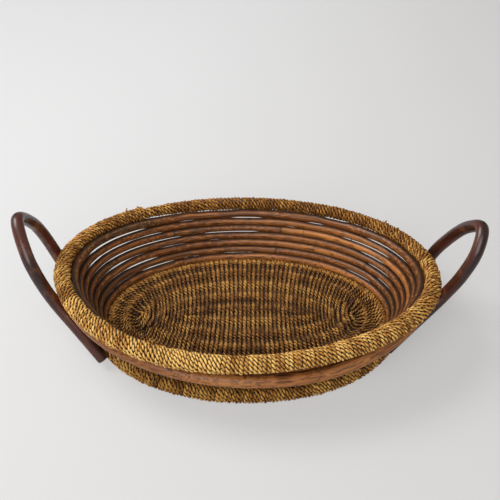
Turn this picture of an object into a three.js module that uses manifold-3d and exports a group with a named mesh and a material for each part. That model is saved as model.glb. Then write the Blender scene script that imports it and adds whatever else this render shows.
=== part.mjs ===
import * as THREE from "three";
import { mergeVertices } from "three/addons/utils/BufferGeometryUtils.js";
import Module from "manifold-3d";

// Oval open basket with two loop handles: seven cane hoops one below the other make the wall,
// a winding of twisted seagrass cord covers the rim and the foot ring, and the floor is woven.
// Millimetres, +Z up, the front is towards -Y, the basket stands on the flat under its foot ring.

const wasm = await Module();
wasm.setup();

// Rim: the middle line of the roll
const rimHalfLength = 230.3;
const rimHalfWidth = 172.7;
const rimHeight = 89.7;
// The hand-bent rim is not a true oval: its ends stand higher, its back lower, and it is a little skewed
const rimEndRise = 4.4;
const rimFrontRise = 3.6;
const rimSkew = 3.9;
const rimTurn = 2.4;

// Rim roll: an oval section with its outer side turned down
const rimRollHalfWidth = 11.0;
const rimRollHalfThickness = 8.3;
const rimRollTilt = THREE.MathUtils.degToRad(24.5);
const windingGrooveDepth = 1.3;
const rimCoreRadius = 2.85;

// Gaps
const seatGap = 0.3;
const windingJoinGap = 0.6;
const boreClearance = 0.15;

// Wall hoops: they fill the wall with a small space between each two
const wallCaneSpace = 1.7;
const topCaneExtraRadius = 0.6;
const topCaneInset = 13.6;
const topCaneDrop = 8.6;
const lowestCaneInset = 45.3;
const lowestCaneHalfLength = rimHalfLength - lowestCaneInset;
const lowestCaneHalfWidth = rimHalfWidth - lowestCaneInset;

// Foot ring: a wound hoop that carries the lowest wall hoop and stands out from under it
const footStandOutLong = 1.0;
const footStandOutWide = 8.6;
const footHalfLength = lowestCaneHalfLength + footStandOutLong;
const footHalfWidth = lowestCaneHalfWidth + footStandOutWide;
const footRollWidth = 13.2;
const footRollHeight = 19.0;
const footCoreRadius = 3.0;

// Floor: its border hoop lies inside the lowest wall hoop
const floorHeight = 18.0;
const floorBorderRadius = 3.3;
const floorBorderInsetLong = 7.6;
const floorBorderInsetWide = 6.7;
const floorBorderHalfLength = lowestCaneHalfLength - floorBorderInsetLong;
const floorBorderHalfWidth = lowestCaneHalfWidth - floorBorderInsetWide;
const floorRodRadius = 2.4;
const innerRodLengthShare = 0.505;
const innerRodHalfWidth = 13.5;
const floorRowThickness = 5.6;

// Front rail: a thicker pole outside the wall, under the rim
const frontRailRadius = 7.8;

// Handles
const handlePoleRadius = 7.7;
const handleRise = 94.0;
const handleEndHeight = 12.0;

// Nails and brads
const nailShankRadius = 0.9;
const nailHeadRadius = 1.8;
const nailHeadThickness = 0.8;
const nailBite = 3.0;
const nailHeadSink = 0.6;
const footNailMargin = 6.0;
const bradShankRadius = 0.7;
const bradHeadRadius = 1.4;
const bradHeadThickness = 0.7;

// Counts
const wallCaneCount = 7;
const floorRodCount = 4;
const frontRibCount = 90;
const backRibCount = 30;
const ribsPerBoreRing = 5;
const caneSteps = 36;
const footSteps = 32;
const floorSteps = 32;
const railSteps = 16;
const handleSteps = 36;
const rollSides = 8;
const poleSides = 8;
const thinSides = 6;
const nailSides = 6;
const settleSteps = 40;

// Angles about the upright axis, from +X towards the back
const degrees = Math.PI / 180;
const fullTurn = 2 * Math.PI;
const rimJoinRight = 37 * degrees;
const rimJoinLeft = 128.25 * degrees;
const footJoin = 90 * degrees;

// Places as shares
const railNailShares = [0.12, 0.38, 0.62, 0.88];
// The rail sags towards the right: its places down the wall, at even steps along it
const railStationShares = [0.1, 0.13, 0.27, 0.47, 0.58, 0.34, 0.12];
// The handles are bent by hand, so each has its own leg angles, at the rim and at the foot, lean and arch.
// A leg with a perch ends on the upper side of the foot ring, that far round from its outer side
const handleShapes = [
  {
    name: "handle_left",
    side: -1,
    frontLeg: { rim: -14 * degrees, foot: -31 * degrees },
    rearLeg: { rim: 12.5 * degrees, foot: 5.5 * degrees },
    lean: -9.5 * degrees,
    acrossShares: [0.97, 0.77],
    riseShares: [0.436, 0.689],
    topShare: 1,
    forwardShare: -0.05,
  },
  {
    name: "handle_right",
    side: 1,
    frontLeg: { rim: -12 * degrees, foot: -28 * degrees, perch: 52 * degrees },
    rearLeg: { rim: 14 * degrees, foot: 5.5 * degrees },
    lean: -15.25 * degrees,
    acrossShares: [0.919, 0.598],
    riseShares: [0.475, 0.834],
    topShare: 1.041,
    forwardShare: -0.273,
  },
];
// A bore's oval is drawn a little larger than the rods in it, because its flats cut the corners
const boreWidthShare = 1.12;
const boreHeightShare = 1.3;
// Where brads join a hoop to the next one: the hoop's number from the top and the angle
const wallBrads = [
  { hoop: 2, angle: 8 * degrees },
  { hoop: 2, angle: 46.25 * degrees },
  { hoop: 3, angle: 43.5 * degrees },
  { hoop: 4, angle: 48 * degrees },
  { hoop: 5, angle: 39.5 * degrees },
  { hoop: 5, angle: 54 * degrees },
  { hoop: 6, angle: 82 * degrees },
];

const materials = {
  seagrass: new THREE.MeshStandardMaterial({ color: 0xa9792f, roughness: 0.75, metalness: 0 }),
  floorSeagrass: new THREE.MeshStandardMaterial({ color: 0x8a6126, roughness: 0.8, metalness: 0 }),
  cane: new THREE.MeshStandardMaterial({ color: 0x5e3a22, roughness: 0.45, metalness: 0 }),
  rail: new THREE.MeshStandardMaterial({ color: 0x7a4a28, roughness: 0.5, metalness: 0 }),
  handle: new THREE.MeshStandardMaterial({ color: 0x4a2016, roughness: 0.3, metalness: 0 }),
  steel: new THREE.MeshStandardMaterial({ color: 0x4d4a46, roughness: 0.4, metalness: 0.9 }),
};

// A hand-bent oval line lying nearly flat
class OvalLine {
  constructor({ halfLength, halfWidth, height, endRise = 0, frontRise = 0, skew = 0, turn = 0 }) {
    Object.assign(this, { halfLength, halfWidth, height, endRise, frontRise, skew, turn });
  }

  point(angle) {
    const x = this.halfLength * Math.cos(angle) - this.skew * Math.sin(3 * angle);
    const y = this.halfWidth * Math.sin(angle) - this.turn * Math.sin(2 * angle);
    const z = this.height + this.endRise * Math.cos(2 * angle) - this.frontRise * Math.sin(angle);
    return new THREE.Vector3(x, y, z);
  }

  outward(angle) {
    return new THREE.Vector3(
      Math.cos(angle) * this.halfWidth,
      Math.sin(angle) * this.halfLength,
      0,
    ).normalize();
  }

  place(angle, out, up) {
    const p = this.point(angle).addScaledVector(this.outward(angle), out);
    p.z += up;
    return p;
  }
}

const rimLine = new OvalLine({
  halfLength: rimHalfLength,
  halfWidth: rimHalfWidth,
  height: rimHeight,
  endRise: rimEndRise,
  frontRise: rimFrontRise,
  skew: rimSkew,
  turn: rimTurn,
});

const flatShare = Math.cos(Math.PI / rollSides);

// The hoops' radius follows from the wall's height and lean, as the lowest one lies on the foot ring
function settleCaneRadius() {
  const gaps = wallCaneCount - 1;
  const lean = (lowestCaneInset - topCaneInset) / gaps;
  const wallRise = rimHeight - topCaneDrop - footRollHeight - seatGap;
  let radius = 0;
  for (let i = 0; i < settleSteps; i++) {
    radius = (Math.hypot((wallRise - radius) / gaps, lean) - wallCaneSpace) / 2;
  }
  return radius;
}

const wallCaneRadius = settleCaneRadius();
const topCaneRadius = wallCaneRadius + topCaneExtraRadius;
const lowestCaneHeight = footRollHeight + seatGap + wallCaneRadius;

// The middle line of the wall at a share of the way from the top hoop to the lowest one
function wallLine(share) {
  const inset = THREE.MathUtils.lerp(topCaneInset, lowestCaneInset, share);
  return new OvalLine({
    halfLength: rimHalfLength - inset,
    halfWidth: rimHalfWidth - inset,
    height: THREE.MathUtils.lerp(rimHeight - topCaneDrop, lowestCaneHeight, share),
    endRise: rimEndRise * (1 - share),
    frontRise: rimFrontRise * (1 - share),
    skew: rimSkew * (1 - share),
    turn: rimTurn * (1 - share),
  });
}

const caneShare = (index) => index / (wallCaneCount - 1);

const footLine = new OvalLine({
  halfLength: footHalfLength,
  halfWidth: footHalfWidth,
  height: footRollHeight / 2,
});

// Sections are closed outlines of [out, up] pairs, anticlockwise
function ovalSection(halfWide, halfHigh, sides, { tilt = 0, start = 0, shift = 0 } = {}) {
  const outline = [];
  for (let i = 0; i < sides; i++) {
    const a = start + (i * fullTurn) / sides;
    const u = shift + halfWide * Math.cos(a);
    const v = halfHigh * Math.sin(a);
    outline.push([
      u * Math.cos(tilt) - v * Math.sin(tilt),
      u * Math.sin(tilt) + v * Math.cos(tilt),
    ]);
  }
  return outline;
}

const roundSection = (radius, sides) =>
  ovalSection(radius, radius, sides, { start: Math.PI / sides });

function stations(from, to, steps) {
  return Array.from({ length: steps + 1 }, (_, i) => from + ((to - from) * i) / steps);
}

// Collects the rings of points of a swept body and joins them into one closed surface
class Sweep {
  constructor() {
    this.positions = [];
    this.indices = [];
  }

  ring(points) {
    const first = this.positions.length / 3;
    points.forEach((p) => this.positions.push(p.x, p.y, p.z));
    return points.map((_, i) => first + i);
  }

  quad(a, b, c, d) {
    this.indices.push(a, b, c, a, c, d);
  }

  skin(rings, { closed = false, inner = false } = {}) {
    const last = closed ? rings.length : rings.length - 1;
    for (let i = 0; i < last; i++) {
      const here = rings[i];
      const next = rings[(i + 1) % rings.length];
      here.forEach((_, j) => {
        const k = (j + 1) % here.length;
        if (inner) this.quad(here[j], here[k], next[k], next[j]);
        else this.quad(here[j], next[j], next[k], here[k]);
      });
    }
  }

  // A flat ring between an outer and an inner outline at one end
  annulus(outer, inner, atStart) {
    outer.forEach((_, j) => {
      const k = (j + 1) % outer.length;
      if (atStart) this.quad(outer[j], outer[k], inner[k], inner[j]);
      else this.quad(outer[k], outer[j], inner[j], inner[k]);
    });
  }

  cap(outline, atStart) {
    for (let j = 1; j < outline.length - 1; j++) {
      if (atStart) this.indices.push(outline[0], outline[j], outline[j + 1]);
      else this.indices.push(outline[0], outline[j + 1], outline[j]);
    }
  }

  geometry() {
    const g = new THREE.BufferGeometry();
    g.setAttribute("position", new THREE.Float32BufferAttribute(this.positions, 3));
    g.setIndex(this.indices);
    return g;
  }
}

const ringAt = (sweep, line, angle, section) =>
  sweep.ring(section.map(([out, up]) => line.place(angle, out, up)));

// A hoop that closes on itself, with its rings at the given angles
function hoopGeometry(line, section, angles) {
  const sweep = new Sweep();
  sweep.skin(angles.map((a) => ringAt(sweep, line, a, section)), { closed: true });
  return sweep.geometry();
}

// A length of pole along a line, with flat ends
function lengthGeometry(line, section, angles) {
  const sweep = new Sweep();
  const rings = angles.map((a) => ringAt(sweep, line, a, section));
  sweep.skin(rings);
  sweep.cap(rings[0], true);
  sweep.cap(rings.at(-1), false);
  return sweep.geometry();
}

// A sleeve of winding with its bore open at both ends; sectionOf gives the outer outline at a ring
function sleeveGeometry(line, outerAngles, sectionOf, boreAngles, boreSection) {
  const sweep = new Sweep();
  const outer = outerAngles.map((a, i) => ringAt(sweep, line, a, sectionOf(i)));
  const bore = boreAngles.map((a) => ringAt(sweep, line, a, boreSection));
  sweep.skin(outer);
  sweep.skin(bore, { inner: true });
  sweep.annulus(outer[0], bore[0], true);
  sweep.annulus(outer.at(-1), bore.at(-1), false);
  return sweep.geometry();
}

// Booleans
function solidOf(geometry) {
  const bare = geometry.clone();
  bare.deleteAttribute("normal");
  bare.deleteAttribute("uv");
  const merged = mergeVertices(bare);
  return new wasm.Manifold(
    new wasm.Mesh({
      numProp: 3,
      vertProperties: new Float32Array(merged.attributes.position.array),
      triVerts: new Uint32Array(merged.index.array),
    }),
  );
}

function geometryOf(solid) {
  const mesh = solid.getMesh();
  const g = new THREE.BufferGeometry();
  g.setAttribute("position", new THREE.BufferAttribute(mesh.vertProperties, 3));
  g.setIndex(new THREE.BufferAttribute(mesh.triVerts, 1));
  return g;
}

const basket = new THREE.Group();
basket.name = "seagrass_basket";
const pieces = new Map();

function addPiece(name, geometry, material) {
  const mesh = new THREE.Mesh(geometry, material);
  mesh.name = name;
  pieces.set(name, mesh);
  basket.add(mesh);
  return mesh;
}

// Rim roll: two hoops side by side under the winding
const coreShift = rimCoreRadius + seatGap / 2;
const boreHalfWidth = (coreShift + rimCoreRadius + seatGap) * boreWidthShare;
const boreHalfThickness = (rimCoreRadius + seatGap) * boreHeightShare;
const rollTilt = -rimRollTilt;

const crestSection = ovalSection(rimRollHalfWidth, rimRollHalfThickness, rollSides, {
  tilt: rollTilt,
});
const grooveSection = ovalSection(
  rimRollHalfWidth - windingGrooveDepth,
  rimRollHalfThickness - windingGrooveDepth,
  rollSides,
  { tilt: rollTilt },
);
const rimBoreSection = ovalSection(boreHalfWidth, boreHalfThickness, rollSides, {
  tilt: rollTilt,
});

const windingLengths = [
  { name: "rim_wrap_back", from: rimJoinRight, to: rimJoinLeft, ribs: backRibCount },
  { name: "rim_wrap_front", from: rimJoinLeft, to: rimJoinRight + fullTurn, ribs: frontRibCount },
];
const halfJoin = windingJoinGap / 2 / rimHalfLength;
const coreAngles = [];
for (const { name, from, to, ribs } of windingLengths) {
  const outerAngles = stations(from + halfJoin, to - halfJoin, 2 * ribs);
  const boreAngles = stations(from + halfJoin, to - halfJoin, ribs / ribsPerBoreRing);
  const sectionOf = (ring) => (ring % 2 ? crestSection : grooveSection);
  const geometry = sleeveGeometry(rimLine, outerAngles, sectionOf, boreAngles, rimBoreSection);
  addPiece(name, geometry, materials.seagrass);
  coreAngles.push(...stations(from, to, ribs / ribsPerBoreRing).slice(0, -1));
}
for (const [name, side] of [
  ["rim_core_inner", -1],
  ["rim_core_outer", 1],
]) {
  const section = ovalSection(rimCoreRadius, rimCoreRadius, thinSides, {
    tilt: rollTilt,
    shift: side * coreShift,
  });
  addPiece(name, hoopGeometry(rimLine, section, coreAngles), materials.cane);
}

// Wall hoops
const caneAngles = stations(0, fullTurn, caneSteps).slice(0, -1);
for (let i = 0; i < wallCaneCount; i++) {
  const radius = i === 0 ? topCaneRadius : wallCaneRadius;
  const geometry = hoopGeometry(wallLine(caneShare(i)), roundSection(radius, poleSides), caneAngles);
  addPiece("wall_cane_" + (i + 1), geometry, materials.cane);
}

// Foot ring: its eight-sided winding has a flat underside
const footHalfWide = footRollWidth / 2 / flatShare;
const footHalfHigh = footRollHeight / 2 / flatShare;
const rollStart = Math.PI / rollSides;
const footSection = ovalSection(footHalfWide, footHalfHigh, rollSides, { start: rollStart });
const footBoreRadius = (footCoreRadius + seatGap) / flatShare;
const footBoreSection = ovalSection(footBoreRadius, footBoreRadius, rollSides, {
  start: rollStart,
});
const halfFootJoin = windingJoinGap / 2 / footHalfLength;
const footWrapAngles = stations(
  footJoin + halfFootJoin,
  footJoin + fullTurn - halfFootJoin,
  footSteps,
);
addPiece(
  "foot_wrap",
  sleeveGeometry(footLine, footWrapAngles, () => footSection, footWrapAngles, footBoreSection),
  materials.seagrass,
);
addPiece(
  "foot_core",
  hoopGeometry(
    footLine,
    roundSection(footCoreRadius, poleSides),
    stations(footJoin, footJoin + fullTurn, footSteps).slice(0, -1),
  ),
  materials.cane,
);

// Floor: a border hoop and oval rods, with a woven row inside each of them
const floorAngles = stations(0, fullTurn, floorSteps).slice(0, -1);
const rowsHalfLength = floorBorderHalfLength - floorBorderRadius;
const rowsHalfWidth = floorBorderHalfWidth - floorBorderRadius;
const floorRings = [];
for (let i = 0; i < floorRodCount; i++) {
  const share = i / floorRodCount;
  floorRings.push({
    name: "floor_rod_" + (i + 1),
    radius: floorRodRadius,
    line: new OvalLine({
      halfLength: rowsHalfLength * THREE.MathUtils.lerp(innerRodLengthShare, 1, share),
      halfWidth: THREE.MathUtils.lerp(innerRodHalfWidth, rowsHalfWidth, share),
      height: floorHeight,
    }),
  });
}
floorRings.push({
  name: "floor_border",
  radius: floorBorderRadius,
  line: new OvalLine({
    halfLength: floorBorderHalfLength,
    halfWidth: floorBorderHalfWidth,
    height: floorHeight,
  }),
});
for (const { name, radius, line } of floorRings) {
  const material = name === "floor_border" ? materials.seagrass : materials.cane;
  addPiece(name, hoopGeometry(line, roundSection(radius, thinSides), floorAngles), material);
}

function flatOutline(ring, out) {
  return floorAngles.map((a) => {
    const p = ring.line.place(a, out, 0);
    return new THREE.Vector2(p.x, p.y);
  });
}

const rodClear = floorRodRadius + seatGap;
floorRings.forEach((ring, i) => {
  const shape = new THREE.Shape(flatOutline(ring, -(ring.radius + seatGap)));
  if (i > 0) shape.holes.push(new THREE.Path(flatOutline(floorRings[i - 1], rodClear)));
  const row = addPiece(
    "floor_row_" + (i + 1),
    new THREE.ExtrudeGeometry(shape, { depth: floorRowThickness, bevelEnabled: false }),
    materials.floorSeagrass,
  );
  row.position.z = floorHeight - floorRowThickness / 2;
});

// Handles: each leg touches the outside of the rim roll and of the foot ring
const up = new THREE.Vector3(0, 0, 1);

// How far an oval section reaches from its middle in a direction given as out and up parts
function reachOf(halfWide, halfHigh, tilt, out, rise) {
  const u = out * Math.cos(tilt) + rise * Math.sin(tilt);
  const v = -out * Math.sin(tilt) + rise * Math.cos(tilt);
  return 1 / Math.hypot(u / halfWide, v / halfHigh);
}

// The middle of a leg's end that sits on the upper side of the foot ring
function perchPoint(footAngle, perch) {
  const out = Math.cos(perch);
  const rise = Math.sin(perch);
  const reach = reachOf(footHalfWide, footHalfHigh, 0, out, rise) + seatGap + handlePoleRadius;
  return footLine.place(footAngle, reach * out, reach * rise);
}

// The outward direction that is square to a leg and to the roll that it crosses
function squareTo(along, outward) {
  const across = along.clone().cross(outward.clone().cross(up)).normalize();
  return across.dot(outward) < 0 ? across.negate() : across;
}

// The middle line of a leg, from its contact with the foot ring to its contact with the rim
function legLine(rimAngle, footAngle, perch) {
  const rimPoint = rimLine.point(rimAngle);
  const footPoint = footLine.point(footAngle);
  const outward = rimLine.outward(rimAngle);
  if (!perch) outward.add(footLine.outward(footAngle)).normalize();
  let top = rimPoint.clone();
  let bottom = footPoint.clone();
  let away = outward.clone();
  for (let i = 0; i < settleSteps; i++) {
    const along = top.clone().sub(bottom).normalize();
    away = outward.clone().addScaledVector(along, -outward.dot(along)).normalize();
    const out = away.dot(outward);
    const across = perch ? squareTo(along, outward) : away;
    const rimOut = across.dot(outward);
    const rimReach = reachOf(rimRollHalfWidth, rimRollHalfThickness, rollTilt, rimOut, across.z);
    const footReach = reachOf(footHalfWide, footHalfHigh, 0, out, away.z);
    top = rimPoint.clone().addScaledVector(across, rimReach + seatGap + handlePoleRadius);
    bottom = perch
      ? perchPoint(footAngle, perch)
      : footPoint.clone().addScaledVector(away, footReach + seatGap + handlePoleRadius);
  }
  const along = top.clone().sub(bottom).normalize();
  const drop = perch ? 0 : (handleEndHeight - bottom.z) / along.z;
  const end = bottom.clone().addScaledVector(along, drop);
  return { rimPoint, footPoint, top, end, along, away };
}

const atSide = (side, angle) => (side < 0 ? Math.PI - angle : angle);

function handleLegs({ side, frontLeg, rearLeg }) {
  return {
    front: legLine(atSide(side, frontLeg.rim), atSide(side, frontLeg.foot), frontLeg.perch),
    rear: legLine(atSide(side, rearLeg.rim), atSide(side, rearLeg.foot), rearLeg.perch),
  };
}

const poleOutline = roundSection(handlePoleRadius, poleSides).map(([x, y]) => new THREE.Vector2(x, y));

function handleGeometry({ legs, side, lean, acrossShares, riseShares, topShare, forwardShare }) {
  const { front, rear } = legs;
  const chord = rear.top.clone().sub(front.top);
  const halfSpan = chord.length() / 2;
  chord.normalize();
  const middle = front.top.clone().add(rear.top).multiplyScalar(1 / 2);
  const rise = front.along.clone().add(rear.along);
  rise.addScaledVector(chord, -rise.dot(chord)).normalize();
  rise.applyAxisAngle(chord, side * lean);
  const arch = (across, height) =>
    middle
      .clone()
      .addScaledVector(chord, across * halfSpan + forwardShare * height * handleRise)
      .addScaledVector(rise, height * handleRise);
  const [lowAcross, highAcross] = acrossShares;
  const [lowRise, highRise] = riseShares;
  const path = new THREE.CatmullRomCurve3(
    [
      front.end,
      front.end.clone().lerp(front.top, 1 / 2),
      front.top,
      arch(-lowAcross, lowRise),
      arch(-highAcross, highRise),
      arch(0, topShare),
      arch(highAcross, highRise),
      arch(lowAcross, lowRise),
      rear.top,
      rear.end.clone().lerp(rear.top, 1 / 2),
      rear.end,
    ],
    false,
    "centripetal",
  );
  return new THREE.ExtrudeGeometry(new THREE.Shape(poleOutline), {
    steps: handleSteps,
    extrudePath: path,
    bevelEnabled: false,
  });
}

const handles = handleShapes.map((shape) => ({ ...shape, legs: handleLegs(shape) }));
for (const handle of handles) addPiece(handle.name, handleGeometry(handle), materials.handle);

// Front rail: lies against the wall hoops, between the front legs of the two handles
const [leftHandle, rightHandle] = handles;
const railFirst = atSide(-1, leftHandle.frontLeg.rim) - fullTurn;
const railLast = atSide(1, rightHandle.frontLeg.rim);
const railStations = new THREE.SplineCurve(
  railStationShares.map((station, i) => new THREE.Vector2(i, station)),
);
const railStation = (angle) =>
  railStations.getPoint(THREE.MathUtils.inverseLerp(railFirst, railLast, angle)).y;

// How far the rail's middle stands off the middle line of the wall, clear of every hoop
const railOut = wallCaneRadius + frontRailRadius + seatGap;

// The rail's middle: away from the wall, square to its slope
function railPoint(angle) {
  const line = wallLine(railStation(angle));
  const slope = wallLine(0).point(angle).sub(wallLine(1).point(angle)).normalize();
  const outward = line.outward(angle);
  const away = outward.clone().addScaledVector(slope, -outward.dot(slope)).normalize();
  return line.point(angle).addScaledVector(away, railOut);
}

// The rail stops just short of a leg
function railEndAngle(leg, towards) {
  const clear = handlePoleRadius + frontRailRadius + seatGap;
  const distance = (angle) =>
    new THREE.Line3(leg.end, leg.top)
      .closestPointToPoint(railPoint(angle), true, new THREE.Vector3())
      .distanceTo(railPoint(angle));
  let near = -Math.PI / 2;
  let far = towards;
  for (let i = 0; i < settleSteps; i++) {
    const middle = (near + far) / 2;
    if (distance(middle) > clear) near = middle;
    else far = middle;
  }
  return near;
}

const railFrom = railEndAngle(leftHandle.legs.front, railFirst);
const railTo = railEndAngle(rightHandle.legs.front, railLast);
const railLine = {
  place: (angle, out, rise) =>
    railPoint(angle)
      .addScaledVector(wallLine(railStation(angle)).outward(angle), out)
      .addScaledVector(up, rise),
};
addPiece(
  "front_rail",
  lengthGeometry(
    railLine,
    roundSection(frontRailRadius, poleSides),
    stations(railFrom, railTo, railSteps),
  ),
  materials.rail,
);

// Nails: a head and a pointed shank on one axis, driven from start towards a direction
function nailGeometry({ shankRadius, headRadius, headThickness, length }, clearance) {
  const head = headRadius + clearance;
  const shank = shankRadius + clearance;
  const back = -clearance * 3;
  const profile = [
    [0, back],
    [head, back],
    [head, headThickness + clearance],
    [shank, headThickness + clearance],
    [shank, length - shankRadius * 2],
    [0, length + clearance],
  ].map(([x, y]) => new THREE.Vector2(x, y));
  return new THREE.LatheGeometry(profile, nailSides);
}

function driveNail(name, nail, start, direction, into) {
  const turn = new THREE.Quaternion().setFromUnitVectors(new THREE.Vector3(0, 1, 0), direction);
  const mesh = addPiece(name, nailGeometry(nail, 0), materials.steel);
  mesh.position.copy(start);
  mesh.quaternion.copy(turn);
  const place = new THREE.Matrix4().compose(start, turn, new THREE.Vector3(1, 1, 1));
  const bore = solidOf(nailGeometry(nail, boreClearance).applyMatrix4(place));
  for (const piece of into) {
    const target = pieces.get(piece);
    target.geometry = geometryOf(solidOf(target.geometry).subtract(bore));
  }
}

const nailSize = {
  shankRadius: nailShankRadius,
  headRadius: nailHeadRadius,
  headThickness: nailHeadThickness,
};
const bradSize = {
  shankRadius: bradShankRadius,
  headRadius: bradHeadRadius,
  headThickness: bradHeadThickness,
};

// Each leg is nailed from inside the rim roll and from inside the foot ring
for (const { name, legs } of handles) {
  for (const [place, leg] of Object.entries(legs)) {
    const rimStart = leg.rimPoint
      .clone()
      .addScaledVector(leg.away, -(coreShift + rimCoreRadius - nailHeadSink));
    driveNail(
      name + "_rim_nail_" + place,
      { ...nailSize, length: rimStart.distanceTo(leg.top) + nailBite },
      rimStart,
      leg.away,
      ["rim_core_inner", "rim_core_outer", "rim_wrap_front", name],
    );
    const target = leg.end.clone().addScaledVector(leg.along, footNailMargin);
    const direction = target.clone().sub(leg.footPoint).normalize();
    const footStart = leg.footPoint
      .clone()
      .addScaledVector(direction, -(footCoreRadius - nailHeadSink));
    driveNail(
      name + "_foot_nail_" + place,
      { ...nailSize, length: footStart.distanceTo(target) + nailBite },
      footStart,
      direction,
      ["foot_core", "foot_wrap", name],
    );
  }
}

// The front rail is nailed from inside the wall through the hoop that it lies nearest to
railNailShares.forEach((share, i) => {
  const angle = THREE.MathUtils.lerp(railFrom, railTo, share);
  const hoop = Math.round(railStation(angle) * (wallCaneCount - 1));
  const cane = wallLine(caneShare(hoop)).point(angle);
  const target = railPoint(angle);
  const direction = target.clone().sub(cane).normalize();
  const start = cane.clone().addScaledVector(direction, -(wallCaneRadius - nailHeadSink));
  driveNail(
    "rail_nail_" + (i + 1),
    { ...nailSize, length: start.distanceTo(target) + nailBite },
    start,
    direction,
    ["wall_cane_" + (hoop + 1), "front_rail"],
  );
});

// Brads go in at the inner face of a hoop and down into the next hoop
wallBrads.forEach(({ hoop, angle }, i) => {
  const line = wallLine(caneShare(hoop - 1));
  const onFace = (wallCaneRadius - nailHeadSink) / Math.SQRT2;
  const start = line.place(angle, -onFace, onFace);
  const target = wallLine(caneShare(hoop)).point(angle);
  const direction = target.clone().sub(start).normalize();
  driveNail(
    "wall_brad_" + (i + 1),
    { ...bradSize, length: start.distanceTo(target) },
    start,
    direction,
    ["wall_cane_" + hoop, "wall_cane_" + (hoop + 1)],
  );
});

// The middle of the outline is the origin
const outline = new THREE.Box3().setFromObject(basket, true);
const centre = outline.getCenter(new THREE.Vector3());
basket.position.set(-centre.x, -centre.y, 0);

export default basket;
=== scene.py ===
"""Dresses an oval seagrass basket: wound rim and foot, cane wall, woven floor, two pole handles.

Sizes are millimetres in the basket's own frame: +X along its length, +Y to the back, +Z up.
Meshes are made in metres in the row frame.
"""

import logging
import math
from dataclasses import dataclass
from enum import Enum

import bpy
import numpy as np
from mathutils import Matrix, Vector
from mathutils.kdtree import KDTree


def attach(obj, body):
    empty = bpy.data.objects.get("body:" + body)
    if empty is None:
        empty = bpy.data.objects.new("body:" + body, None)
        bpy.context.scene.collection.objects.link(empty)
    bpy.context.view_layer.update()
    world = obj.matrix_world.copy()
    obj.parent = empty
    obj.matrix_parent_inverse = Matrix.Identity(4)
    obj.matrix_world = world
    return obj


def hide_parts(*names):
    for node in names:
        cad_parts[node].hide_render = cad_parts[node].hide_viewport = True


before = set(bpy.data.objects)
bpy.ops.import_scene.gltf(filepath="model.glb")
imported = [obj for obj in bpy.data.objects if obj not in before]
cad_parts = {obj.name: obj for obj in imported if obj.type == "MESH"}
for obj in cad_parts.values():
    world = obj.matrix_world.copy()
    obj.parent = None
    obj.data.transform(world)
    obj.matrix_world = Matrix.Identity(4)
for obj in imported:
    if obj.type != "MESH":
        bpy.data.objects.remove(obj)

log = logging.getLogger("basket")

MM = 0.001
ROW_SHIFT = np.array([-1.992111206, -0.0013, 0.0])
FULL_TURN = 2 * math.pi
BODY = "root"
FINE_STEPS = 4000
PLY_SHARE = 0.56
PLY_ACROSS = 1.16

Mark = np.ndarray | float

# The length of one swing along a line, and how far it goes to either side
Wander = tuple[float, float]


def linear(red: float, green: float, blue: float) -> tuple[float, float, float, float]:
    """Turns an sRGB colour of 0 to 255 into the linear colour that a node takes."""
    levels = [level / 255 for level in (red, green, blue)]
    return (*(v / 12.92 if v <= 0.04045 else ((v + 0.055) / 1.055) ** 2.4 for v in levels), 1.0)


def to_row(points: np.ndarray) -> np.ndarray:
    """Takes points from the basket's millimetres to the row frame's metres."""
    return (points + ROW_SHIFT) * MM


def unit(vectors: np.ndarray) -> np.ndarray:
    """Gives vectors a length of one."""
    return vectors / np.linalg.norm(vectors, axis=-1, keepdims=True)


# Lines of the basket


@dataclass(frozen=True)
class OvalLine:
    """A hand-bent oval line lying nearly flat."""

    half_length: float
    half_width: float
    height: float
    end_rise: float = 0.0
    front_rise: float = 0.0
    skew: float = 0.0
    turn: float = 0.0

    def point(self, angle: np.ndarray) -> np.ndarray:
        """Gives the line's points at some angles.

        Args:
            angle: angles about the upright axis, from +X towards the back.

        Returns:
            One point for each angle.
        """
        x = self.half_length * np.cos(angle) - self.skew * np.sin(3 * angle)
        y = self.half_width * np.sin(angle) - self.turn * np.sin(2 * angle)
        z = self.height + self.end_rise * np.cos(2 * angle) - self.front_rise * np.sin(angle)
        return np.stack([x, y, z], -1)

    def outward(self, angle: np.ndarray) -> np.ndarray:
        """Gives the level direction away from the middle at some angles."""
        x, y = np.cos(angle) * self.half_width, np.sin(angle) * self.half_length
        return unit(np.stack([x, y, np.zeros_like(x)], -1))

    def place(self, angle: np.ndarray, out: np.ndarray, rise: np.ndarray) -> np.ndarray:
        """Gives points moved out and up from the line.

        Args:
            angle: angles about the upright axis.
            out: how far out from the line.
            rise: how far up from the line.

        Returns:
            One point for each angle.
        """
        moved = self.point(angle) + self.outward(angle) * np.asarray(out)[..., None]
        moved[..., 2] += rise
        return moved

    def even_angles(self, start: float, stop: float, count: int) -> np.ndarray:
        """Gives angles that cut a stretch of the line into equal lengths.

        Args:
            start: first angle.
            stop: last angle.
            count: how many angles.

        Returns:
            The angles.
        """
        fine = np.linspace(start, stop, FINE_STEPS)
        walked = lengths_along(self.point(fine))
        return np.interp(np.linspace(0, walked[-1], count), walked, fine)

    def length(self, start: float, stop: float) -> float:
        """Measures the line between two angles."""
        return float(lengths_along(self.point(np.linspace(start, stop, FINE_STEPS)))[-1])


def lengths_along(points: np.ndarray) -> np.ndarray:
    """Measures how far each point lies along a line of points."""
    steps = np.linalg.norm(np.diff(points, axis=0), axis=1)
    return np.concatenate([[0.0], np.cumsum(steps)])


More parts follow.
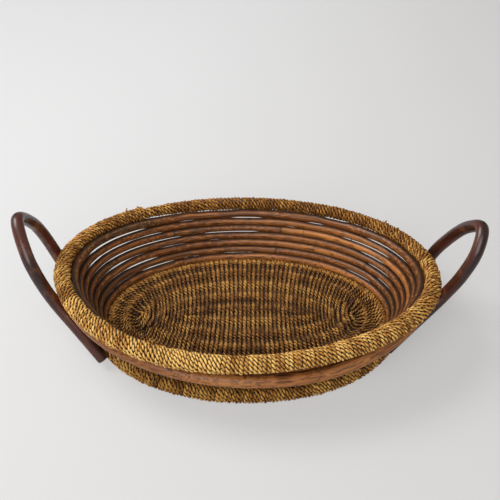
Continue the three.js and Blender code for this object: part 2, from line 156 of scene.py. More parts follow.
def smooth_wander(
    rng: np.random.Generator, walked: np.ndarray, wave: float, reach: float = 1.0
) -> np.ndarray:
    """Makes a slow random wander along a line.

    Args:
        rng: the random source.
        walked: lengths along the line.
        wave: length of one swing.
        reach: how far it wanders to either side.

    Returns:
        One value for each length.
    """
    knots = np.arange(walked[0] - 2 * wave, walked[-1] + 3 * wave, wave)
    values = rng.uniform(-1, 1, len(knots))
    at = (walked - knots[0]) / wave
    left = np.clip(np.floor(at).astype(int), 0, len(knots) - 2)
    share = at - left
    share = share * share * (3 - 2 * share)
    return reach * (values[left] * (1 - share) + values[left + 1] * share)


def between(low: float, high: float, first, second, at: np.ndarray) -> np.ndarray:
    """Gives places on the straight line that passes first at low and second at high."""
    return (high - at) / (high - low) * first + (at - low) / (high - low) * second


def rounded_route(knots: np.ndarray, count: int, steps: int = 60) -> np.ndarray:
    """Draws a smooth route through knots, with knots spaced by the root of their distance.

    Args:
        knots: points that the route passes.
        count: points on the route.
        steps: places worked out between two knots.

    Returns:
        Evenly spaced points.
    """
    ends = [2 * knots[0] - knots[1], 2 * knots[-1] - knots[-2]]
    p = np.concatenate([[ends[0]], knots, [ends[1]]])
    pieces = []
    for i in range(1, len(p) - 2):
        a, b, c, d = p[i - 1 : i + 3]
        t0 = 0.0
        t1, t2, t3 = np.cumsum([np.linalg.norm(v) ** 0.5 for v in (b - a, c - b, d - c)])
        t = np.linspace(t1, t2, steps)[:, None]
        ab, bc, cd = between(t0, t1, a, b, t), between(t1, t2, b, c, t), between(t2, t3, c, d, t)
        abc, bcd = between(t0, t2, ab, bc, t), between(t1, t3, bc, cd, t)
        pieces.append(between(t1, t2, abc, bcd, t))
    route = np.concatenate([piece[:-1] for piece in pieces] + [pieces[-1][-1:]])
    walked = lengths_along(route)
    return along_route(route, walked, np.linspace(0, walked[-1], count))


def along_route(route: np.ndarray, walked: np.ndarray, at: np.ndarray) -> np.ndarray:
    """Gives the places at some lengths along a route, of which walked holds each point's length."""
    return np.stack([np.interp(at, walked, route[:, k]) for k in range(route.shape[1])], -1)


def tilted(u: np.ndarray, v: np.ndarray, tilt: float) -> tuple[np.ndarray, np.ndarray]:
    """Turns places on a tilted section, wide and high, into how far out and up they lie."""
    return u * math.cos(tilt) - v * math.sin(tilt), u * math.sin(tilt) + v * math.cos(tilt)


@dataclass(frozen=True)
class BasketShape:
    """The sizes that several parts of the basket share."""

    rim_half_length: float = 230.3
    rim_half_width: float = 172.7
    rim_height: float = 89.7
    rim_end_rise: float = 4.4
    rim_front_rise: float = 3.6
    rim_skew: float = 3.9
    rim_turn: float = 2.4
    top_cane_inset: float = 13.6
    top_cane_drop: float = 8.6
    lowest_cane_inset: float = 45.3
    lowest_cane_height: float = 23.9
    cane_count: int = 7
    foot_half_length: float = 186.0
    foot_half_width: float = 136.0
    foot_height: float = 19.0
    floor_height: float = 18.0
    border_half_length: float = 177.4
    border_half_width: float = 120.7

    def rim(self) -> OvalLine:
        """Gives the middle line of the rim roll."""
        return self.upper_line(0.0, self.rim_height, 1.0)

    def upper_line(self, inset: float, height: float, bent: float) -> OvalLine:
        """Gives the rim's line moved in to a height, with a share of its rises and lopsidedness."""
        return OvalLine(
            self.rim_half_length - inset, self.rim_half_width - inset, height,
            self.rim_end_rise * bent, self.rim_front_rise * bent, self.rim_skew * bent, self.rim_turn * bent,
        )

    def wall(self, share: float) -> OvalLine:
        """Gives the wall's middle line at a height.

        Args:
            share: 0 at the top hoop, 1 at the lowest.

        Returns:
            The line.
        """
        inset = self.top_cane_inset + (self.lowest_cane_inset - self.top_cane_inset) * share
        top = self.rim_height - self.top_cane_drop
        return self.upper_line(inset, top + (self.lowest_cane_height - top) * share, 1 - share)

    def wall_sides(self, angle: np.ndarray, out: np.ndarray) -> tuple[np.ndarray, np.ndarray]:
        """Gives the directions up the wall and out of its face where out is the level direction."""
        slope = unit(self.wall(0.0).point(angle) - self.wall(1.0).point(angle))
        return slope, unit(out - slope * (out * slope).sum(1, keepdims=True))

    def foot(self) -> OvalLine:
        """Gives the middle line of the foot ring."""
        return OvalLine(self.foot_half_length, self.foot_half_width, self.foot_height / 2)

    def border(self) -> OvalLine:
        """Gives the middle line of the floor's border hoop."""
        return OvalLine(self.border_half_length, self.border_half_width, self.floor_height)


SHAPE = BasketShape()


# Objects and nodes


def add_object(name: str, data: bpy.types.ID) -> bpy.types.Object:
    """Adds an object to the scene.

    Args:
        name: its name.
        data: its mesh, lamp or camera.

    Returns:
        The object.
    """
    thing = bpy.data.objects.new(name, data)
    bpy.context.scene.collection.objects.link(thing)
    return thing


def add_node(tree: bpy.types.NodeTree, kind: str, values: dict | None, settings: dict) -> bpy.types.Node:
    """Adds a node to a tree.

    Args:
        tree: the tree.
        kind: the node's type.
        values: links or values of its inputs, by identifier, name or place.
        settings: properties that are set first.

    Returns:
        The node.
    """
    node = tree.nodes.new(kind)
    for key, value in settings.items():
        setattr(node, key, value)
    named = {socket.identifier: socket for socket in node.inputs}
    for key, value in (values or {}).items():
        socket = named.get(key) or node.inputs[key]
        value = value.socket if isinstance(value, Level) else value
        if isinstance(value, bpy.types.NodeSocket):
            tree.links.new(value, socket)
        else:
            socket.default_value = value
    return node


# Paths and their skins


class PathMesh:
    """Collects lines of points with their marks, as the edges that a skin covers."""

    def __init__(self) -> None:
        """Starts with no lines."""
        self.points: list[np.ndarray] = []
        self.outs: list[np.ndarray] = []
        self.marks: dict[str, list[np.ndarray]] = {name: [] for name in ("tone", "swell", "joint", "turn")}

    def add(
        self, points: np.ndarray, out: np.ndarray, tone: Mark = 0.5, swell: Mark = 1.0,
        joint: Mark = 0.0, turn: Mark = 0.0,
    ) -> None:
        """Adds one open line.

        Args:
            points: its points in millimetres.
            out: the direction that faces away from what carries the line.
            tone: its shade, 0 to 1, into which some parts also take painted light and shade.
            swell: its thickness as a share of the skin's.
            joint: how near a cane's joint is, 0 to 1.
            turn: how far its twist runs ahead, in radians.
        """
        self.points.append(points)
        self.outs.append(np.broadcast_to(out, points.shape))
        for name, value in zip(self.marks, (tone, swell, joint, turn)):
            self.marks[name].append(np.broadcast_to(value, len(points)))

    def mesh(self, name: str) -> bpy.types.Mesh:
        """Makes the edge mesh of all lines.

        Args:
            name: the mesh's name.

        Returns:
            A mesh of points and edges with its marks as attributes.
        """
        places = to_row(np.concatenate(self.points))
        edges = []
        first = 0
        for line in self.points:
            at = np.arange(first, first + len(line) - 1)
            edges.append(np.stack([at, at + 1], -1))
            first += len(line)
        pairs = np.concatenate(edges)
        mesh = bpy.data.meshes.new(name)
        mesh.vertices.add(len(places))
        mesh.vertices.foreach_set("co", places.astype(np.float32).ravel())
        mesh.edges.add(len(pairs))
        mesh.edges.foreach_set("vertices", pairs.astype(np.int32).ravel())
        out = mesh.attributes.new("out", "FLOAT_VECTOR", "POINT")
        out.data.foreach_set("vector", np.concatenate(self.outs).astype(np.float32).ravel())
        for key, values in self.marks.items():
            mark = mesh.attributes.new(key, "FLOAT", "POINT")
            mark.data.foreach_set("value", np.concatenate(values).astype(np.float32))
        mesh.update()
        return mesh


class Lay(Enum):
    """How many strands a skin lays along its path."""

    POLE = 1
    TWO_PLY = 2


@dataclass(frozen=True)
class StrandSize:
    """Sizes of what a skin lays along a path, in millimetres."""

    radius: float
    offset: float = 0.0
    lay_length: float = 1000.0
    across: float = 1.0
    sides: int = 5


def two_ply(cord_radius: float, lay_length: float) -> StrandSize:
    """Gives the sizes of a cord's two strands."""
    radius = cord_radius * PLY_SHARE
    return StrandSize(radius, cord_radius - radius, lay_length, PLY_ACROSS)


class Skin:
    """A Geometry Nodes tree that lays one pole, or two strands twisted together, along a path."""

    def __init__(self, lay: Lay) -> None:
        """Builds the tree.

        Args:
            lay: one pole or two strands.
        """
        self.lay = lay
        self.tree = bpy.data.node_groups.new("skin_" + lay.name.lower(), "GeometryNodeTree")
        self.tree.is_modifier = True
        self.keys: dict[str, str] = {}
        faces = self.tree.interface
        faces.new_socket("Path", in_out="INPUT", socket_type="NodeSocketGeometry")
        kinds = dict.fromkeys(("Radius", "Offset", "Twist", "Across"), "NodeSocketFloat")
        kinds |= {"Sides": "NodeSocketInt", "Finish": "NodeSocketMaterial"}
        for name, kind in kinds.items():
            self.keys[name] = faces.new_socket(name, in_out="INPUT", socket_type=kind).identifier
        faces.new_socket("Piece", in_out="OUTPUT", socket_type="NodeSocketGeometry")
        self._build()

    def _node(self, kind: str, values: dict | None = None, **settings) -> bpy.types.Node:
        """Adds a node to the tree."""
        return add_node(self.tree, kind, values, settings)

    def _maths(self, operation: str, *values) -> bpy.types.NodeSocket:
        """Adds a Math node and gives its output."""
        return self._node("ShaderNodeMath", dict(enumerate(values)), operation=operation).outputs[0]

    def _vectors(self, operation: str, *values) -> bpy.types.Node:
        """Adds a Vector Math node."""
        return self._node("ShaderNodeVectorMath", dict(enumerate(values)), operation=operation)

    def _store(self, geometry, name: str, value, kind: str = "FLOAT") -> bpy.types.NodeSocket:
        """Stores a named attribute on points and gives the geometry."""
        values = {"Geometry": geometry, "Name": name, "Value": value}
        return self._node("GeometryNodeStoreNamedAttribute", values, data_type=kind).outputs[0]

    def _named(self, name: str, kind: str = "FLOAT") -> bpy.types.NodeSocket:
        """Reads a named attribute."""
        return self._node("GeometryNodeInputNamedAttribute", {"Name": name}, data_type=kind).outputs[0]

    def _strand(self, sizes: bpy.types.Node, turned: float) -> bpy.types.NodeSocket:
        """Makes one strand's outline, moved off the middle and turned about it.

        Args:
            sizes: the group's input node.
            turned: the angle about the middle.

        Returns:
            The outline's geometry.
        """
        values = {"Resolution": sizes.outputs["Sides"], "Radius": sizes.outputs["Radius"]}
        circle = self._node("GeometryNodeCurvePrimitiveCircle", values, mode="RADIUS")
        place = self._node("GeometryNodeInputPosition").outputs[0]
        scaled = self._vectors("SCALE", place)
        self.tree.links.new(self._maths("DIVIDE", 1.0, sizes.outputs["Radius"]), scaled.inputs["Scale"])
        marked = self._store(circle.outputs[0], "round", scaled.outputs[0], "FLOAT_VECTOR")
        wide = self._node("ShaderNodeCombineXYZ", {0: 1.0, 1: sizes.outputs["Across"], 2: 1.0})
        aside = self._node("ShaderNodeCombineXYZ", {0: sizes.outputs["Offset"]})
        values = {"Geometry": marked, "Scale": wide.outputs[0], "Translation": aside.outputs[0]}
        moved = self._node("GeometryNodeTransform", values)
        values = {"Geometry": moved.outputs[0], "Rotation": (0.0, 0.0, turned)}
        return self._node("GeometryNodeTransform", values).outputs[0]

    def _build(self) -> None:
        """Joins the nodes from the path to the finished piece."""
        sizes = self._node("NodeGroupInput")
        curve = self._node("GeometryNodeMeshToCurve", {"Mesh": sizes.outputs["Path"]}).outputs[0]
        walked = self._node("GeometryNodeSplineParameter").outputs["Length"]
        curve = self._store(curve, "along", self._maths("MULTIPLY", walked, 1 / MM))
        place = self._node("GeometryNodeInputPosition").outputs[0]
        curve = self._store(curve, "mid", place, "FLOAT_VECTOR")
        outline = self._strand(sizes, 0.0)
        if self.lay is Lay.TWO_PLY:
            twist = self._maths("MULTIPLY", self._named("along"), sizes.outputs["Twist"])
            twist = self._maths("ADD", twist, self._named("turn"))
            curve = self._node("GeometryNodeSetCurveTilt", {"Curve": curve, "Tilt": twist}).outputs[0]
            both = self._node("GeometryNodeJoinGeometry")
            for strand in (outline, self._strand(sizes, math.pi)):
                self.tree.links.new(strand, both.inputs[0])
            outline = both.outputs[0]
        values = {"Curve": curve, "Profile Curve": outline, "Scale": self._named("swell"), "Fill Caps": True}
        body = self._node("GeometryNodeCurveToMesh", values).outputs[0]
        off = self._vectors("SUBTRACT", self._node("GeometryNodeInputPosition").outputs[0])
        self.tree.links.new(self._named("mid", "FLOAT_VECTOR"), off.inputs[1])
        lift = self._vectors("DOT_PRODUCT", off.outputs[0])
        self.tree.links.new(self._named("out", "FLOAT_VECTOR"), lift.inputs[1])
        reach = self._maths("ADD", sizes.outputs["Radius"], sizes.outputs["Offset"])
        height = self._maths("DIVIDE", lift.outputs["Value"], reach)
        body = self._store(body, "height", height)
        for name in ("mid", "out"):
            body = self._node("GeometryNodeRemoveAttribute", {"Geometry": body, "Name": name}).outputs[0]
        smooth = self._node("GeometryNodeSetShadeSmooth", {"Geometry": body})
        real = self._node("GeometryNodeRealizeInstances", {"Geometry": smooth.outputs[0]})
        values = {"Geometry": real.outputs[0], "Material": sizes.outputs["Finish"]}
        self._node("NodeGroupOutput", {0: self._node("GeometryNodeSetMaterial", values).outputs[0]})

    def cover(
        self, name: str, path: PathMesh, size: StrandSize, finish: bpy.types.Material, slot: str,
        nodes: list[str],
    ) -> None:
        """Lays the skin on a path, keeps the result as a plain mesh and settles it in the basket.

        Args:
            name: the piece's name.
            path: the lines to follow.
            size: the strand's sizes.
            finish: the piece's material.
            slot: the record's material slot; not used.
            nodes: the plain solids that the piece stands for.
        """
        guide = add_object(name + "_path", path.mesh(name + "_path"))
        skin = guide.modifiers.new("skin", "NODES")
        skin.node_group = self.tree
        sizes = (size.radius * MM, size.offset * MM, -FULL_TURN / size.lay_length, size.across, size.sides)
        for key, value in zip(self.keys.values(), (*sizes, finish)):
            skin[key] = value
        graph = bpy.context.evaluated_depsgraph_get()
        mesh = bpy.data.meshes.new_from_object(
            guide.evaluated_get(graph), preserve_all_data_layers=True, depsgraph=graph
        )
        guide.modifiers.remove(skin)
        line = guide.data
        bpy.data.objects.remove(guide)
        bpy.data.meshes.remove(line)
        mesh.name = name
        piece = add_object(name, mesh)
        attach(piece, BODY)
        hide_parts(*nodes)
        log.info("%s: %d faces", name, len(mesh.polygons))


# Shader expressions


class Level:
    """A number socket of a shader, with arithmetic that adds Math nodes."""

    def __init__(self, book: "FinishBook", socket: bpy.types.NodeSocket) -> None:
        """Wraps a socket of a finish."""
        self.book = book
        self.socket = socket

    def _sum(self, operation: str, left, right) -> "Level":
        """Adds a Math node of two values."""
        return self.book.node("ShaderNodeMath", {0: left, 1: right}, operation=operation)

    def __add__(self, other) -> "Level":
        """Adds."""
        return self._sum("ADD", self, other)

    __radd__ = __add__

    def __sub__(self, other) -> "Level":
        """Takes away."""
        return self._sum("SUBTRACT", self, other)

    def __rsub__(self, other) -> "Level":
        """Is taken away."""
        return self._sum("SUBTRACT", other, self)

    def __mul__(self, other) -> "Level":
        """Multiplies."""
        return self._sum("MULTIPLY", self, other)

    __rmul__ = __mul__

    def ramp(self, low: float, high: float) -> "Level":
        """Rises smoothly from 0 at low to 1 at high."""
        values = {"Value": self, "From Min": low, "From Max": high}
        return self.book.node("ShaderNodeMapRange", values, interpolation_type="SMOOTHSTEP")


class FinishBook:
    """Builds the node tree of one finish."""

    def __init__(self, name: str) -> None:
        """Starts an empty material.

        Args:
            name: its name.
        """
        self.material = bpy.data.materials.new(name)
        self.material.use_nodes = True
        self.tree = self.material.node_tree
        self.tree.nodes.clear()
        self.out = self.tree.nodes.new("ShaderNodeOutputMaterial")

    def node(self, kind: str, values: dict | None = None, output=0, **settings) -> Level:
        """Adds a node and gives the wanted output."""
        return Level(self, add_node(self.tree, kind, values, settings).outputs[output])

    def attribute(self, name: str, output: str = "Fac") -> Level:
        """Reads a mark of the piece."""
        return self.node("ShaderNodeAttribute", output=output, attribute_name=name)

    def blend(self, share, low, high) -> Level:
        """Blends two colours by the share of the second."""
        values = {"Factor_Float": share, "A_Color": low, "B_Color": high}
        return self.node("ShaderNodeMix", values, output=2, data_type="RGBA", blend_type="MIX")

    def noise(self, place: Level, scale: float, detail: float = 2.0, rough: float = 0.5) -> Level:
        """Adds a noise over a place."""
        values = {"Vector": place, "Scale": scale, "Detail": detail, "Roughness": rough}
        return self.node("ShaderNodeTexNoise", values)

    def grain_place(
        self, across: float, along: float, shift: Level | None = None, apart: float = 40.0
    ) -> Level:
        """Gives a place that runs round and along a strand, so that noise on it makes fibres.

        Args:
            across: how fast the place moves round the strand.
            along: how fast it moves along, for each millimetre.
            shift: moves the pattern from strand to strand.
            apart: how far a shift of 1 moves it.

        Returns:
            A vector.
        """
        values = {0: self.attribute("round", "Vector"), 1: (across, across, across)}
        turned = self.node("ShaderNodeVectorMath", values, operation="MULTIPLY")
        walked = self.attribute("along") * along
        if shift is not None:
            walked = walked + shift * apart
        lift = self.node("ShaderNodeCombineXYZ", {"Z": walked})
        return self.node("ShaderNodeVectorMath", {0: turned, 1: lift}, operation="ADD")

    def surface(self, values: dict, bump: Level | None = None, depth: float = 0.0002) -> None:
        """Ends the tree in a Principled shader.

        Args:
            values: its inputs.
            bump: height that turns the normal.
            depth: the height's size in metres.
        """
        values = dict(values)
        if bump is not None:
            bumps = {"Height": bump, "Distance": depth, "Strength": 1.0}
            values["Normal"] = self.node("ShaderNodeBump", bumps)
        shader = self.node("ShaderNodeBsdfPrincipled", values)
        self.tree.links.new(shader.socket, self.out.inputs["Surface"])


# Finishes


@dataclass(frozen=True)
class Finish:
    """A material made of nodes."""

    name: str

    def make(self) -> bpy.types.Material:
        """Builds the material.

        Returns:
            The material.
        """
        book = FinishBook(self.name)
        self.paint(book)
        return book.material


@dataclass(frozen=True)
class SeagrassFinish(Finish):
    """Dry twisted seagrass: straw fibres along each strand, with painted shade where strands meet and on the
    side turned towards what carries them.
    """

    straw: tuple = linear(236, 190, 108)
    honey: tuple = linear(178, 122, 50)
    dusk: tuple = linear(112, 66, 20)
    # painted shade: the colour laid where the strands meet and on the side turned towards what carries them
    gap: tuple = linear(20, 10, 3)
    green: tuple = linear(104, 86, 32)
    green_share: float = 0.25
    roughness: float = 0.6
    specular: float = 0.25
    relief: float = 0.00025

    def paint(self, book: FinishBook) -> None:
        """Joins the finish's nodes.

        Args:
            book: takes them.
        """
        tone = book.attribute("tone")
        fibre = book.noise(book.grain_place(2.6, 0.05, tone), 1.6, 3.0, 0.62)
        patch = book.noise(book.grain_place(0.7, 0.14), 1.0, 2.0)
        shade = patch * 0.6 + fibre * 0.3 + tone * 0.2
        split = book.node("ShaderNodeSeparateXYZ", {0: book.attribute("round", "Vector")})
        colour = book.blend(shade.ramp(0.4, 0.53), self.dusk, self.honey)
        colour = book.blend(shade.ramp(0.51, 0.68), colour, self.straw)
        colour = book.blend(patch.ramp(0.6, 0.68) * self.green_share, colour, self.green)
        # painted shade: darker where the two strands press together and on the side facing what carries the
        # cord
        depth = split.ramp(-0.7, 0.7) * 0.5 + book.attribute("height").ramp(-0.2, 0.9) * 0.5
        colour = book.blend(depth.ramp(0.22, 0.86), self.gap, colour)
        rough = fibre * 0.25 + (self.roughness - 0.12)
        values = {"Base Color": colour, "Roughness": rough, "Specular IOR Level": self.specular}
        book.surface(values, fibre, self.relief)


@dataclass(frozen=True)
class CaneFinish(Finish):
    """Stained cane: streaks along it, darker at its joints, with a satin face and painted shade along its top
    and bottom.
    """

    pale: tuple = linear(188, 120, 60)
    warm: tuple = linear(116, 67, 30)
    olive: tuple = linear(80, 61, 38)
    deep: tuple = linear(44, 24, 13)
    # painted shade: the colour laid along the cane's top and bottom, where it meets the canes beside it
    cane_crease_shade: tuple = linear(30, 16, 9)
    cane_crease_shade_share: float = 0.85
    roughness: float = 0.36
    specular: float = 0.36
    relief: float = 0.0004

    def paint(self, book: FinishBook) -> None:
        """Joins the finish's nodes.

        Args:
            book: takes them.
        """
        tone = book.attribute("tone")
        streak = book.noise(book.grain_place(2.4, 0.012, tone), 1.6, 4.0, 0.62)
        cloud = book.noise(book.grain_place(1.1, 0.012, tone), 1.3, 1.0)
        fleck = book.noise(book.grain_place(2.4, 0.12, tone), 2.2, 1.0)
        joint = book.attribute("joint")
        base = book.blend(tone.ramp(0.05, 0.5), self.olive, self.warm)
        # painted shade: darker along the top and bottom of the cane, where it touches its neighbours
        side = book.attribute("height") * book.attribute("height")
        for pattern, low, high, share, stain in (
            (tone, 0.5, 1.0, 1.0, self.pale),
            (streak, 0.5, 0.66, 0.7, self.pale),
            (streak, 0.48, 0.34, 0.8, self.deep),
            (cloud, 0.5, 0.68, 0.5, self.deep),
            (fleck, 0.66, 0.76, 0.6, self.deep),
            (joint, 0.35, 0.9, 0.5, self.deep),
            (side, 0.5, 0.03, self.cane_crease_shade_share, self.cane_crease_shade),
        ):
            base = book.blend(pattern.ramp(low, high) * share, base, stain)
        rough = streak * 0.25 + (self.roughness - 0.1)
        values = {"Base Color": base, "Roughness": rough, "Specular IOR Level": self.specular}
        book.surface(values, streak + joint * 0.6, self.relief)


@dataclass(frozen=True)
class VarnishedPoleFinish(Finish):
    """Dark red-brown varnished pole with faint grain."""

    red: tuple = linear(80, 36, 22)
    black: tuple = linear(36, 18, 13)
    pale_patch: tuple = linear(128, 80, 48)
    roughness: float = 0.36
    coat: float = 0.25
    coat_roughness: float = 0.2

    def paint(self, book: FinishBook) -> None:
        """Joins the finish's nodes.

        Args:
            book: takes them.
        """
        streak = book.noise(book.grain_place(1.6, 0.02), 1.4, 4.0, 0.6)
        cloud = book.noise(book.grain_place(0.5, 0.012), 1.2, 2.0)
        base = book.blend(cloud.ramp(0.35, 0.65), self.red, self.black)
        base = book.blend(streak.ramp(0.5, 0.8) * 0.5, base, self.black)
        # lighter brown patches at random along the pole
        pale_patch_noise = book.noise(book.grain_place(0.35, 0.03), 1.1, 3.0, 0.6)
        base = book.blend(pale_patch_noise.ramp(0.54, 0.7) * 0.6, base, self.pale_patch)
        rough = streak * 0.15 + (self.roughness - 0.08)
        values = {"Base Color": base, "Roughness": rough, "Specular IOR Level": 0.4}
        values |= {"Coat Weight": self.coat, "Coat Roughness": self.coat_roughness}
        book.surface(values, streak)


@dataclass(frozen=True)
class MottledFinish(Finish):
    """Two shades in patches, for the plain solids of hidden canes and of nails."""

    light: tuple
    dark: tuple
    scale: float
    detail: float
    roughness: float
    relief: float = 0.0002
    metallic: float = 0.0

    def paint(self, book: FinishBook) -> None:
        """Joins the finish's nodes.

        Args:
            book: takes them.
        """
        blotch = book.noise(book.node("ShaderNodeTexCoord", output="Object"), self.scale, self.detail)
        base = book.blend(blotch.ramp(0.35, 0.65), self.light, self.dark)
        rough = blotch * 0.3 + self.roughness
        values = {"Base Color": base, "Metallic": self.metallic, "Roughness": rough}
        book.surface(values, blotch, self.relief)


@dataclass(frozen=True)
class PaperFinish(Finish):
    """Matt studio paper with painted light, lighter towards the left and the back; to the camera part of it
    glows with its own colour, so shadows stay light.
    """

    # painted light: the paper's lit colours on its lighter and darker sides
    light: tuple = linear(213, 212, 211)
    shade: tuple = linear(200, 198, 196)
    painted_glow_share: float = 0.47
    painted_glow_light: tuple = linear(237, 237, 238)
    painted_glow_shade: tuple = linear(219, 218, 217)

    def paint(self, book: FinishBook) -> None:
        """Joins the finish's nodes.

        Args:
            book: takes them.
        """
        place = book.node("ShaderNodeTexCoord", output="Object")
        split = book.node("ShaderNodeSeparateXYZ", {0: place})
        mottle = book.noise(place, 3.0, 2.0)
        depth = book.node("ShaderNodeSeparateXYZ", {0: place}, output=1)
        # painted light: lighter towards the left and the back, darker towards the right and the front
        across = (split + mottle * 0.1 - depth * 0.35).ramp(-0.55, 0.55)
        lit_colour = book.blend(across, self.light, self.shade)
        lit = book.node("ShaderNodeBsdfDiffuse", {"Color": lit_colour, "Roughness": 0.5})
        # painted glow: to the camera the paper shows part of its colour as emission, which lightens its
        # shadows
        painted_glow_colour = book.blend(across, self.painted_glow_light, self.painted_glow_shade)
        own = book.node("ShaderNodeEmission", {"Color": painted_glow_colour, "Strength": 1.0})
        seen = book.node("ShaderNodeLightPath", output="Is Camera Ray")
        both = book.node("ShaderNodeMixShader", {0: seen * self.painted_glow_share, 1: lit, 2: own})
        book.tree.links.new(both.socket, book.out.inputs["Surface"])


FINISHES = (
    CaneFinish("cane_dark"),
    CaneFinish("cane_rail", linear(188, 126, 72), linear(146, 90, 46), linear(116, 77, 50), cane_crease_shade_share=0.0),
    MottledFinish("cane_hidden", linear(120, 72, 40), linear(66, 38, 22), 160.0, 4.0, 0.4),
    SeagrassFinish("seagrass_rim"),
    SeagrassFinish("seagrass_foot", linear(214, 164, 84), linear(162, 108, 40), linear(98, 60, 22)),
    SeagrassFinish(
        "seagrass_floor", linear(210, 156, 78), linear(138, 88, 34), linear(82, 50, 20), linear(12, 6, 2),
        linear(96, 82, 34), green_share=0.35,
    ),
    # painted shade: a darker copy of the floor seagrass for the cords of the lower face, which lie in shade
    SeagrassFinish(
        "seagrass_floor_under_shaded", linear(92, 62, 30), linear(58, 36, 15), linear(32, 19, 8), linear(8, 4, 2),
        linear(44, 36, 16),
    ),
    VarnishedPoleFinish("handle_pole"),
    MottledFinish("nail_steel", linear(74, 62, 52), linear(40, 31, 25), 900.0, 3.0, 0.42, 0.0001, 0.7),
)


# Parts of the basket


@dataclass
class SubAssembly:
    """A part of the basket, made with one skin in one finish."""

    skin: Skin
    finish: bpy.types.Material


@dataclass
class Winding:
    """A two-ply cord wound round a hoop.

    Each of its swells holds a place, as a share of the length, how far it reaches and how high it rises.
    """

    line: OvalLine
    half_wide: float
    half_high: float
    tilt: float
    pitch: float
    cord_radius: float
    lay_length: float
    steps_per_turn: int
    seed: int
    loose_wander: Wander = (0.45, 0.35)
    lump_wander: Wander = (9.0, 0.3)
    swells: tuple = ()
    square: float = 1.0
    painted_back_shade: float = 0.0
    outline_points: int = 721
    lean_wander: Wander = (9.0, 0.25)
    slide_wander: Wander = (0.6, 0.3)
    length_tone: Wander = (17.0, 0.25)
    turn_tone: Wander = (1.0, 0.35)
    swell_wander: Wander = (0.35, 0.13)
    thinnest: float = 0.93
    twist_wander: Wander = (0.5, 1.5)

    def size(self) -> StrandSize:
        """Gives the sizes of the cord's two strands."""
        return two_ply(self.cord_radius, self.lay_length)

    def _section(self, wound: np.ndarray) -> tuple[np.ndarray, np.ndarray]:
        """Finds places on the roll's outline, even along it.

        Args:
            wound: how many turns the cord has made.

        Returns:
            How far out and how far up each place lies, before the roll's tilt.
        """
        fine = np.linspace(0, FULL_TURN, self.outline_points)
        cosine, sine = np.cos(fine), np.sin(fine)
        u = (self.half_wide - self.cord_radius) * np.sign(cosine) * np.abs(cosine) ** self.square
        v = (self.half_high - self.cord_radius) * np.sign(sine) * np.abs(sine) ** self.square
        share = lengths_along(np.stack([u, v, 0 * u], -1))
        share = share / share[-1]
        return np.interp(wound % 1.0, share, u), np.interp(wound % 1.0, share, v)

    def path(self, start: float, stop: float) -> PathMesh:
        """Winds the cord from one angle to another.

        Args:
            start: first angle.
            stop: last angle.

        Returns:
            The cord's path.
        """
        rng = np.random.default_rng(self.seed)
        turns = self.line.length(start, stop) / self.pitch
        count = int(turns * self.steps_per_turn)
        angle = self.line.even_angles(start, stop, count)
        wound = np.linspace(0, turns, count)
        walked = wound * self.pitch
        lean = self.pitch * smooth_wander(rng, wound, *self.lean_wander)
        about = FULL_TURN * wound
        loose = smooth_wander(rng, wound, *self.loose_wander)
        loose = loose + smooth_wander(rng, wound, *self.lump_wander)
        for place, reach, rise in self.swells:
            loose = loose + rise * np.exp(-(((walked - place * walked[-1]) / reach) ** 2))
        u, v = self._section(wound)
        grown = 1 + loose / (self.half_high - self.cord_radius)
        out, rise = tilted(u * grown, v * grown, self.tilt)
        per_radian = self.line.length(start, stop) / (stop - start)
        slide = lean * np.sin(about) + smooth_wander(rng, wound, *self.slide_wander)
        points = self.line.place(angle + slide / per_radian, out, rise)
        level, upright = tilted(np.cos(about) / self.half_wide, np.sin(about) / self.half_high, self.tilt)
        side = self.line.outward(angle) * level[:, None]
        side[:, 2] += upright
        tone = 0.5 + smooth_wander(rng, walked, *self.length_tone)
        tone = tone + smooth_wander(rng, wound, *self.turn_tone)
        # painted shade: the cord lighter at the front of the hoop, darker at the sides and darkest at the
        # back
        tone = tone - self.painted_back_shade * (np.sin(angle) + 0.5)
        swell = np.maximum(1.0 + smooth_wander(rng, wound, *self.swell_wander), self.thinnest)
        turn = smooth_wander(rng, wound, *self.twist_wander)
        path = PathMesh()
        path.add(points, unit(side), np.clip(tone, 0, 1), swell, turn=turn)
        return path


